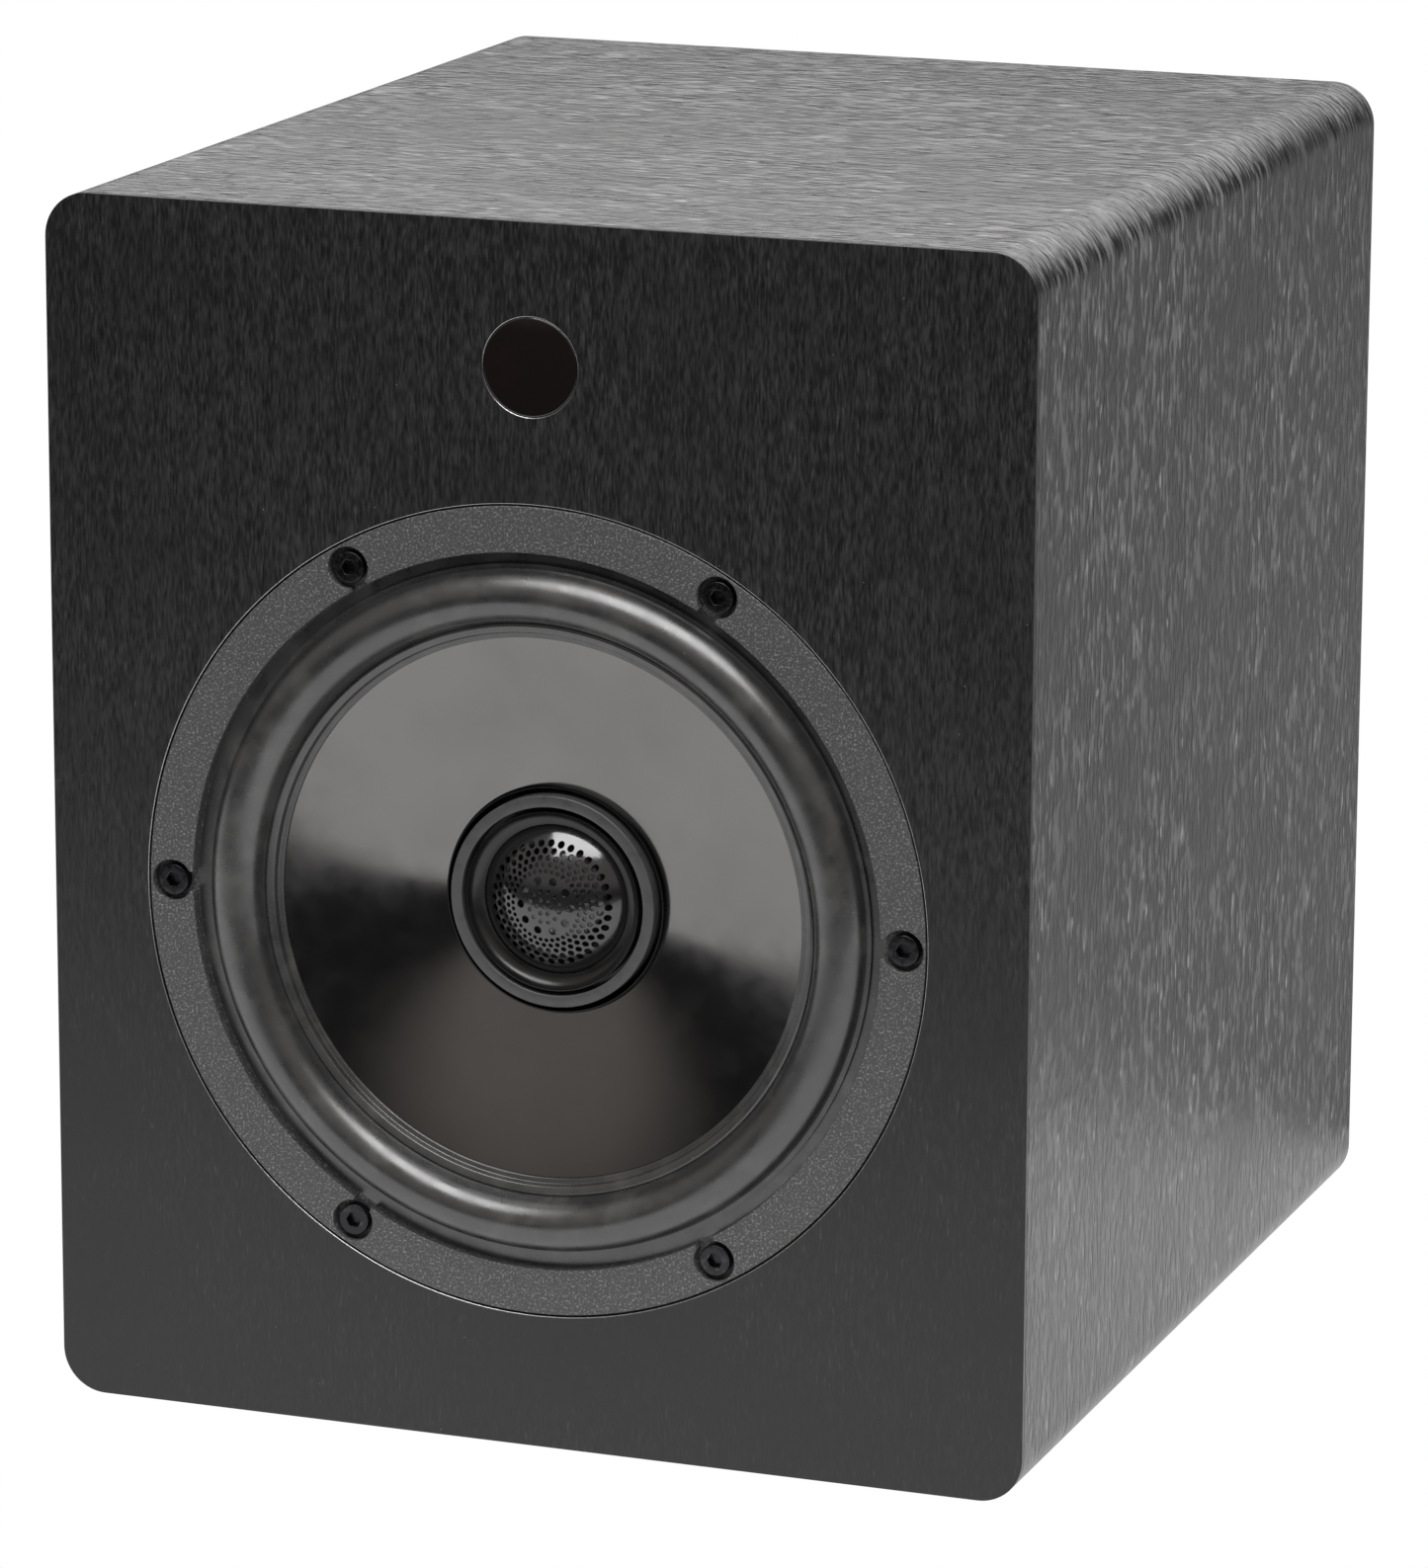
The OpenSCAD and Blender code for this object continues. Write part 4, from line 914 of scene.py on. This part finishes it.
def flange_layer():
    """Front layer of the basket's flange, with keyhole recesses for the screws."""
    well_r, neck_half, back = 4.65, 2.2, HEAD_FRONT + HEAD_H
    neck_turn = math.asin(neck_half / SEAT_R)
    well_turn = math.asin(neck_half / well_r)
    inner = []
    step = TAU / 6
    for angle in SCREW_ANGLES:
        for k in range(33):
            a = angle - step + neck_turn + (step - 2 * neck_turn) * k / 32
            inner.append((SEAT_R * math.cos(a), DRIVER_Z + SEAT_R * math.sin(a)))
        cx, cz = SCREW_CIRCLE * math.cos(angle), DRIVER_Z + SCREW_CIRCLE * math.sin(angle)
        for k in range(25):
            a = angle + math.pi + well_turn + (TAU - 2 * well_turn) * k / 24
            inner.append((cx + well_r * math.cos(a), cz + well_r * math.sin(a)))
    rim = circle(FLANGE_R, 0, DRIVER_Z, 288)
    return plate("flange_layer", [rim, inner], 0, back, 0.28, 3)


def driver_basket():
    """Cast basket: the front layer with its recesses on the turned and vented frame."""
    skirt_r = SEAT_R - 4.3
    wall, collar_r, vent_back = 3.0, 30, 36.5
    shoulder = depth("front_baffle")[1] + 0.5
    well = HEAD_FRONT + HEAD_H
    seat = depth("basket_gasket")[0]
    back_depth = depth("basket")[1]
    shoulder_r = skirt_r - 9.5
    ring_r = radius("top_plate") + 1
    motor = back_depth - wall
    profile = fillet([
        (skirt_r, well - 0.4), (FLANGE_R - 0.4, well - 0.4), (FLANGE_R - 0.4, seat, 0.3),
        (skirt_r + 2.5, seat, 0.5), (skirt_r + 2.5, shoulder + wall, 0.8),
        (shoulder_r + wall, shoulder + wall, 0.8), (ring_r, motor, 0.8), (ring_r, back_depth, 0.5),
        (collar_r, back_depth), (collar_r, motor), (ring_r - wall, motor, 0.8),
        (shoulder_r, shoulder + wall, 0.6), (shoulder_r, shoulder, 0.6), (skirt_r, shoulder, 0.6),
    ], 3)
    frame_part = lathe("basket_frame", profile, 240)
    for k in range(6):
        cutter = vent_cutter((k + 0.5) * TAU / 6, skirt_r - 32, shoulder + wall + 1.5, vent_back)
        cut = frame_part.modifiers.new("vent", "BOOLEAN")
        cut.object = cutter
        cut.solver = "EXACT"
    bpy.context.view_layer.update()
    apply_modifiers(frame_part)
    for spent in [o for o in bpy.data.objects if o.name.startswith("vent_cutter")]:
        bpy.data.objects.remove(spent)
    piece = join("driver_basket", [flange_layer(), frame_part])
    return dress(piece, "powder_coat", replaced=["basket"])


def vent_cutter(angle, r, front, back):
    """Block that cuts one opening in the basket's sloping wall."""
    bm = bmesh.new()
    bmesh.ops.create_cube(bm, size=1.0)
    turn = Matrix.Rotation(-angle, 4, "Y")
    scale = Matrix.Diagonal((40 * MM, (back - front) * MM, 30 * MM, 1))
    shift = Matrix.Translation(Vector((r + 20, (front + back) / 2, 0)) * MM)
    move = Matrix.Translation(place(0, 0, DRIVER_Z))
    bmesh.ops.transform(bm, matrix=move @ turn @ shift @ scale, verts=bm.verts)
    bmesh.ops.bevel(bm, geom=bm.edges, offset=2 * MM, segments=3, affect="EDGES")
    cutter = finish_mesh(bm, "vent_cutter")
    cutter.hide_render = True
    return cutter


def cap_screw(angle):
    """Socket cap screw: a knurled head with a hexagonal recess on a threaded shank."""
    x, z = SCREW_CIRCLE * math.cos(angle), DRIVER_Z + SCREW_CIRCLE * math.sin(angle)
    socket = circle(KEY_HALF / math.cos(math.pi / 6), x, z, 6, angle)
    socket_floor = HEAD_FRONT + SOCKET_DEPTH
    knurled = [
        (x + r * math.cos(a), z + r * math.sin(a))
        for k in range(96)
        for a, r in [(TAU * k / 96, HEAD_R - (0.0, 0.10)[k % 2])]
    ]
    head = plate("screw_head", [knurled, socket], HEAD_FRONT, socket_floor, 0.22, 3)
    end = depth("basket_screws")[1]
    under = HEAD_FRONT + HEAD_H
    lap = 0.02
    profile = [(0, socket_floor - lap), (HEAD_R - lap, socket_floor - lap), (HEAD_R - lap, under)]
    profile += thread(THREAD_R, under, end)
    shank = lathe("screw_shank", profile, 48, x, z)
    return join("screw", [head, shank])


def thread(r, front, back):
    """Profile of a threaded shank as even ridges, from front to back."""
    pitch, groove, tip = 0.7, 0.3, 0.4
    points = []
    d = front
    while d + pitch < back - tip:
        points += [(r, d), (r - groove, d + pitch / 2)]
        d += pitch
    return [*points, (r - tip, back), (0, back)]


def flange_screws():
    pieces = [cap_screw(a) for a in SCREW_ANGLES]
    return dress(join("flange_screws", pieces), "black_steel", replaced=["basket_screws"])


def radial_blend(piece):
    """Bakes a round suspension's placement into its mesh."""
    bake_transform(piece)
    return piece


def arc(cx, cd, r, start, end, steps):
    """Arc of a profile, in degrees, where 0 points outwards and 90 to the front."""
    out = []
    for k in range(steps + 1):
        a = math.radians(start + (end - start) * k / steps)
        out.append((cx + r * math.cos(a), cd - r * math.sin(a)))
    return out


def woofer_surround():
    """Half-roll rubber surround with a bead round its seat and a rib at the cone's rim."""
    rubber = 0.9
    ledge = CONE_FRONT - 2.5
    roll_r = ledge - LEDGE[0]
    mid_r = RIM_R + roll_r - rubber
    seat_in = mid_r + roll_r
    crease = mid_r - roll_r
    rib_in = crease + rubber - 3.6
    lip_in = RIM_R - CONE_RIM
    front = fillet([
        (SEAT_R - 0.2, ledge - rubber, 0.35), (seat_in + 0.9, ledge - rubber, 0.3),
        (seat_in + 0.25, ledge - 0.25, 0.2), (seat_in, ledge - 0.7),
    ], 3)
    front = [(SEAT_R - 0.2, ledge)] + front
    roll = arc(mid_r, ledge, roll_r, 12, 168, 28)
    neck = fillet([
        (crease - 0.25, ledge - 0.2, 0.15), (crease - 1.1, ledge - 0.35, 0.3),
        (rib_in + 0.2, ledge + 0.15, 0.3), (rib_in - 0.1, CONE_FRONT - rubber, 0.3),
        (lip_in, CONE_FRONT - rubber * 0.75, 0.25), (lip_in, CONE_FRONT, 0.05),
    ], 3)
    under = [(RIM_R, CONE_FRONT), (RIM_R, ledge + 0.1)]
    inside = arc(mid_r, ledge, roll_r - rubber, 176, 4, 28)
    profile = front + roll + neck + under + inside + [(seat_in - rubber * 0.3, ledge)]
    piece = lathe("woofer_surround", profile, 288, sharp=48)
    dress(piece, "surround_rubber", replaced=["surround"], blended=True)
    return radial_blend(piece)


def woofer_cone():
    """Straight metal cone with a rolled rim and a collar on the coil former."""
    edge_r = RIM_R - CONE_RIM
    neck = CONE_BACK - 2.3
    wall = 0.6
    profile = fillet([
        (NECK_R, neck, 0.15), (edge_r, CONE_FRONT, 1.2), (RIM_R, CONE_FRONT),
        (RIM_R, CONE_FRONT + wall, 0.2), (edge_r + 0.3, CONE_FRONT + wall, 1.0),
        (NECK_R + wall, neck + 0.35), (NECK_R + wall, CONE_BACK, 0.15), (NECK_R, CONE_BACK),
    ], 4)
    piece = lathe("woofer_cone", profile, 288, sharp=40)
    return dress(piece, "cone_metal", "moving_cone", ["cone"])


def spider_disc():
    """Corrugated cloth disc between the coil former and the basket."""
    front, back = depth("spider")
    cloth = 0.6
    rest = (front + back - cloth) / 2
    height = (back - front - cloth) / 2
    outer = radius("spider")
    start, end = NECK_R + 1.7, outer - 3.9
    face = [(NECK_R, rest)]
    for k in range(97):
        face.append((start + (end - start) * k / 96, rest + height * math.sin(TAU * k / 24)))
    face.append((outer, rest))
    profile = face + [(r, d + cloth) for r, d in reversed(face)]
    piece = lathe("spider_disc", profile, 144, sharp=60)
    dress(piece, "spider_cloth", replaced=["spider"], blended=True)
    return radial_blend(piece)


def curve_points(route):
    """Smooth curve through the points of a route."""
    steps = 8
    route = [Vector(p) for p in route]
    ends = [route[0] * 2 - route[1], *route, route[-1] * 2 - route[-2]]
    out = []
    for a, b, c, d in zip(ends, ends[1:], ends[2:], ends[3:]):
        for k in range(steps):
            t = k / steps
            out.append(0.5 * (2 * b + (c - a) * t + (2 * a - 5 * b + 4 * c - d) * t * t
                              + (3 * b - a - 3 * c + d) * t ** 3))
    return [*out, route[-1]]


def tube(name, route, r):
    """Round wire along a route of (x, depth, z) points in mm."""
    sides = 12
    points = curve_points(route)
    bm = bmesh.new()
    rings = []
    side = Vector((0.3, 0.2, 0.93))
    for i, point in enumerate(points):
        ahead = (points[min(i + 1, len(points) - 1)] - points[max(i - 1, 0)]).normalized()
        side = (side - ahead * side.dot(ahead)).normalized()
        other = ahead.cross(side)
        ring = []
        for k in range(sides):
            a = TAU * k / sides
            rim = point + (side * math.cos(a) + other * math.sin(a)) * r
            ring.append(bm.verts.new(place(*rim)))
        rings.append(ring)
    for a, b in zip(rings, rings[1:]):
        for k in range(sides):
            j = (k + 1) % sides
            bm.faces.new((a[k], a[j], b[j], b[k]))
    bm.faces.new(rings[0][::-1])
    bm.faces.new(rings[-1])
    return finish_mesh(bm, name)


def tinsel_braids():
    """Two flexible leads from the terminal strip to the coil former."""
    low, high = size("tinsel_leads")
    r = 0.7
    start = depth("tinsel_leads")[0] + r
    foot, top = low.z, high.z
    pieces = []
    for side in (-1, 1):
        route = [
            (side * 6, start, foot), (side * 6, start, foot + 4), (side * 7, start + 3, foot + 13),
            (side * 6, start + 5, (foot + top) / 2 + 4), (side * 4, start + 3, top - 9),
            (side * 3, start, top - 4), (side * 3, start, top),
        ]
        pieces.append(tube("braid", route, r * 0.96))
    piece = join("tinsel_braids", pieces)
    dress(piece, "copper", replaced=["tinsel_leads"], blended=True)
    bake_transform(piece)
    return piece


driver_basket()
flange_screws()
woofer_surround()
woofer_cone()
spider_disc()
tinsel_braids()

# ------------------------------------------------------------------ tweeter

HOUSING_R = radius("tweeter_housing")
RING_W = 2.65
POST_HOLE_R = 3.5
FLOOR_T = 3


def housing_ring():
    """Turned tube round the tweeter, with its bevelled front ring."""
    front, back = depth("tweeter_housing")
    bore = HOUSING_R - RING_W
    profile = fillet([
        (bore, front, 0.25), (HOUSING_R, front, 0.35), (HOUSING_R, back, 0.4),
        (POST_HOLE_R, back, 0.2), (POST_HOLE_R, back - FLOOR_T), (bore, back - FLOOR_T, 0.5),
    ], 3)
    return dress(lathe("housing_ring", profile, 256), "anodised_ring", replaced=["tweeter_housing"])


def wave_guide():
    """Bowl that leads from the rim to the protective mesh."""
    front, back = depth("tweeter_waveguide")
    rim_r = 20.2
    bowl_w, bowl_d = 3.4, 2.5
    mesh_back = depth("tweeter_mesh")[1]
    bowl = [
        (rim_r - 0.25 - (bowl_w - 0.25) * (1 - math.cos(a)), front + 0.05 + bowl_d * math.sin(a))
        for a in (math.radians(9 * k) for k in range(11))
    ]
    lip = fillet([(rim_r, front + 0.25, 0.1), (rim_r - 0.1, front, 0.1), (rim_r - 0.25, front + 0.02)], 2)
    seat = rim_r - bowl_w
    bore = HOUSING_R - RING_W
    profile = lip + bowl + [
        (seat, mesh_back), (seat - 1.6, mesh_back), (seat - 1.6, back), (bore - 0.02, back),
        (bore - 0.02, back - 1.5), (rim_r, back - 1.5),
    ]
    piece = lathe("wave_guide", profile, 256)
    return dress(piece, "guide_plastic", replaced=["tweeter_waveguide"])


def soft_dome():
    """Drawn dome foil with a short cylindrical skirt."""
    front, back = depth("tweeter_dome")
    r = radius("tweeter_dome")
    film = 0.4
    rise = back - 1 - front
    ball = (r * r + rise * rise) / (2 * rise)
    spread = math.asin(r / ball)
    angles = [spread * k / 24 for k in range(25)]
    within = ball - film
    outer = [(ball * math.sin(a), front + ball * (1 - math.cos(a))) for a in angles]
    inner = [(within * math.sin(a), front + ball - within * math.cos(a)) for a in angles[::-1]]
    profile = outer + [(r, back), (r - film, back)] + inner
    return dress(lathe("soft_dome", profile, 128), "dome_metal", "tweeter_diaphragm", ["tweeter_dome"])


def dome_roll():
    """Small roll that lets the dome move, clamped behind the wave guide."""
    front, back = depth("tweeter_surround")
    rim = radius("tweeter_surround")
    r = radius("tweeter_dome")
    film = back - front - 1 if back - front - 1 > 0.2 else 0.4
    roll = 1.0
    mid = r + roll
    base = back - film
    profile = [(rim, base), (mid + roll, base - 0.02)] + arc(mid, base, roll, 10, 170, 12)
    profile += [(r, base), (r, back), (r + film, back)] + arc(mid, base, roll - film, 170, 10, 12)
    profile += [(mid + roll - film * 0.6, back), (rim, back)]
    piece = lathe("dome_roll", profile, 128)
    dress(piece, "surround_rubber", replaced=["tweeter_surround"], blended=True)
    return radial_blend(piece)


housing_ring()
wave_guide()
soft_dome()
dome_roll()

# ------------------------------------------------------------------ floor, light and camera


def stage_floor(name, near, far, glow):
    """Glowing table top between two distances. Only lights and reflections meet it."""
    mesh = bpy.data.meshes.new(name)
    mesh.from_pydata([(-3, near, 0), (3, near, 0), (3, far, 0), (-3, far, 0)], [], [(0, 1, 2, 3)])
    floor = make_object(name, mesh)
    f = Finish(name, (0.15, 0.15, 0.15), 0.7)
    f.shader.inputs["Emission Color"].default_value = (1, 1, 1, 1)
    f.shader.inputs["Emission Strength"].default_value = glow
    mesh.materials.append(f.material)
    floor.visible_camera = False


def softbox(name, target, direction, distance, width, height, radiance):
    """Area light of an even brightness that faces a point from a direction."""
    light = bpy.data.lights.new(name, "AREA")
    light.shape = "RECTANGLE"
    light.size, light.size_y = width, height
    light.energy = radiance * math.pi * width * height
    lamp = bpy.data.objects.new(name, light)
    bpy.context.scene.collection.objects.link(lamp)
    way = Vector(direction).normalized()
    lamp.location = Vector(target) + way * distance
    lamp.rotation_mode = "QUATERNION"
    lamp.rotation_quaternion = way.to_track_quat("Z", "Y")
    lamp.visible_camera = False
    return lamp


def heading(azimuth, elevation):
    """Unit vector towards an azimuth (0 in front, 90 to the right) and an elevation, in degrees."""
    a, e = math.radians(azimuth), math.radians(elevation)
    return Vector((math.sin(a) * math.cos(e), -math.cos(a) * math.cos(e), math.sin(e)))


def studio_world():
    """White for the camera; for light, a dim room with a warm wall and ceiling in front."""
    world = bpy.data.worlds.new("studio")
    bpy.context.scene.world = world
    world.use_nodes = True
    nodes, links = world.node_tree.nodes, world.node_tree.links
    nodes.clear()
    out = nodes.new("ShaderNodeOutputWorld")
    seen = nodes.new("ShaderNodeBackground")
    seen.inputs["Color"].default_value = (1.0, 1.0, 1.0, 1)
    room = nodes.new("ShaderNodeBackground")
    mix = nodes.new("ShaderNodeMixShader")
    path = nodes.new("ShaderNodeLightPath")
    coord = nodes.new("ShaderNodeTexCoord")
    split = nodes.new("ShaderNodeSeparateXYZ")
    rise = nodes.new("ShaderNodeMapRange")
    rise.interpolation_type = "SMOOTHSTEP"
    rise.inputs["From Min"].default_value = -0.01
    rise.inputs["From Max"].default_value = 0.24
    tone = nodes.new("ShaderNodeMix")
    tone.data_type = "RGBA"
    tone.inputs[6].default_value = (0.035, 0.035, 0.036, 1)
    tone.inputs[7].default_value = (0.44, 0.405, 0.38, 1)
    links.new(coord.outputs["Generated"], split.inputs["Vector"])
    links.new(split.outputs["Z"], rise.inputs["Value"])
    ahead = nodes.new("ShaderNodeMapRange")
    ahead.inputs["From Min"].default_value = 0.3
    ahead.inputs["From Max"].default_value = -0.3
    ahead.inputs["To Min"].default_value = 0.25
    both = nodes.new("ShaderNodeMath")
    both.operation = "MULTIPLY"
    links.new(split.outputs["Y"], ahead.inputs["Value"])
    links.new(rise.outputs["Result"], both.inputs[0])
    links.new(ahead.outputs["Result"], both.inputs[1])
    links.new(both.outputs["Value"], tone.inputs[0])
    links.new(tone.outputs[2], room.inputs["Color"])
    links.new(path.outputs["Is Camera Ray"], mix.inputs["Fac"])
    links.new(room.outputs["Background"], mix.inputs[1])
    links.new(seen.outputs["Background"], mix.inputs[2])
    links.new(mix.outputs["Shader"], out.inputs["Surface"])


def camera():
    """Long lens from the front right, a little above; no shift."""
    data = bpy.data.cameras.new("camera")
    data.sensor_width = 36
    data.lens = 174.4
    data.clip_start, data.clip_end = 0.05, 50
    cam = bpy.data.objects.new("camera", data)
    bpy.context.scene.collection.objects.link(cam)
    aim = Vector((-0.0082, 0.0, 0.1181))
    way = heading(20.26, 13.69)
    roll = Matrix.Rotation(math.radians(CAMERA_ROLL), 4, "Z")
    turn = way.to_track_quat("Z", "Y").to_matrix().to_4x4()
    cam.matrix_world = Matrix.Translation(aim + way * CAMERA_DISTANCE) @ turn @ roll
    bpy.context.scene.camera = cam


CAMERA_DISTANCE = 1.7685
CAMERA_ROLL = 0.23
TABLE_SPLIT = 0.16
stage_floor("front_table", -0.507, TABLE_SPLIT, 1.0)
stage_floor("rear_table", TABLE_SPLIT, 6.0, 0.3)
studio_world()
softbox("key", place(0, 0, DRIVER_Z), heading(15, 63), 1.5, 1.5, 0.85, 7.5)
softbox("overhead", (0, 0.2, 0), heading(200, 80), 1.7, 1.8, 1.5, 0.6)
softbox("rear_strip", (0, 0, 0.2), heading(180, 28), 1.1, 1.6, 0.28, 2.8)
camera()
bpy.context.scene.view_settings.view_transform = "Standard"
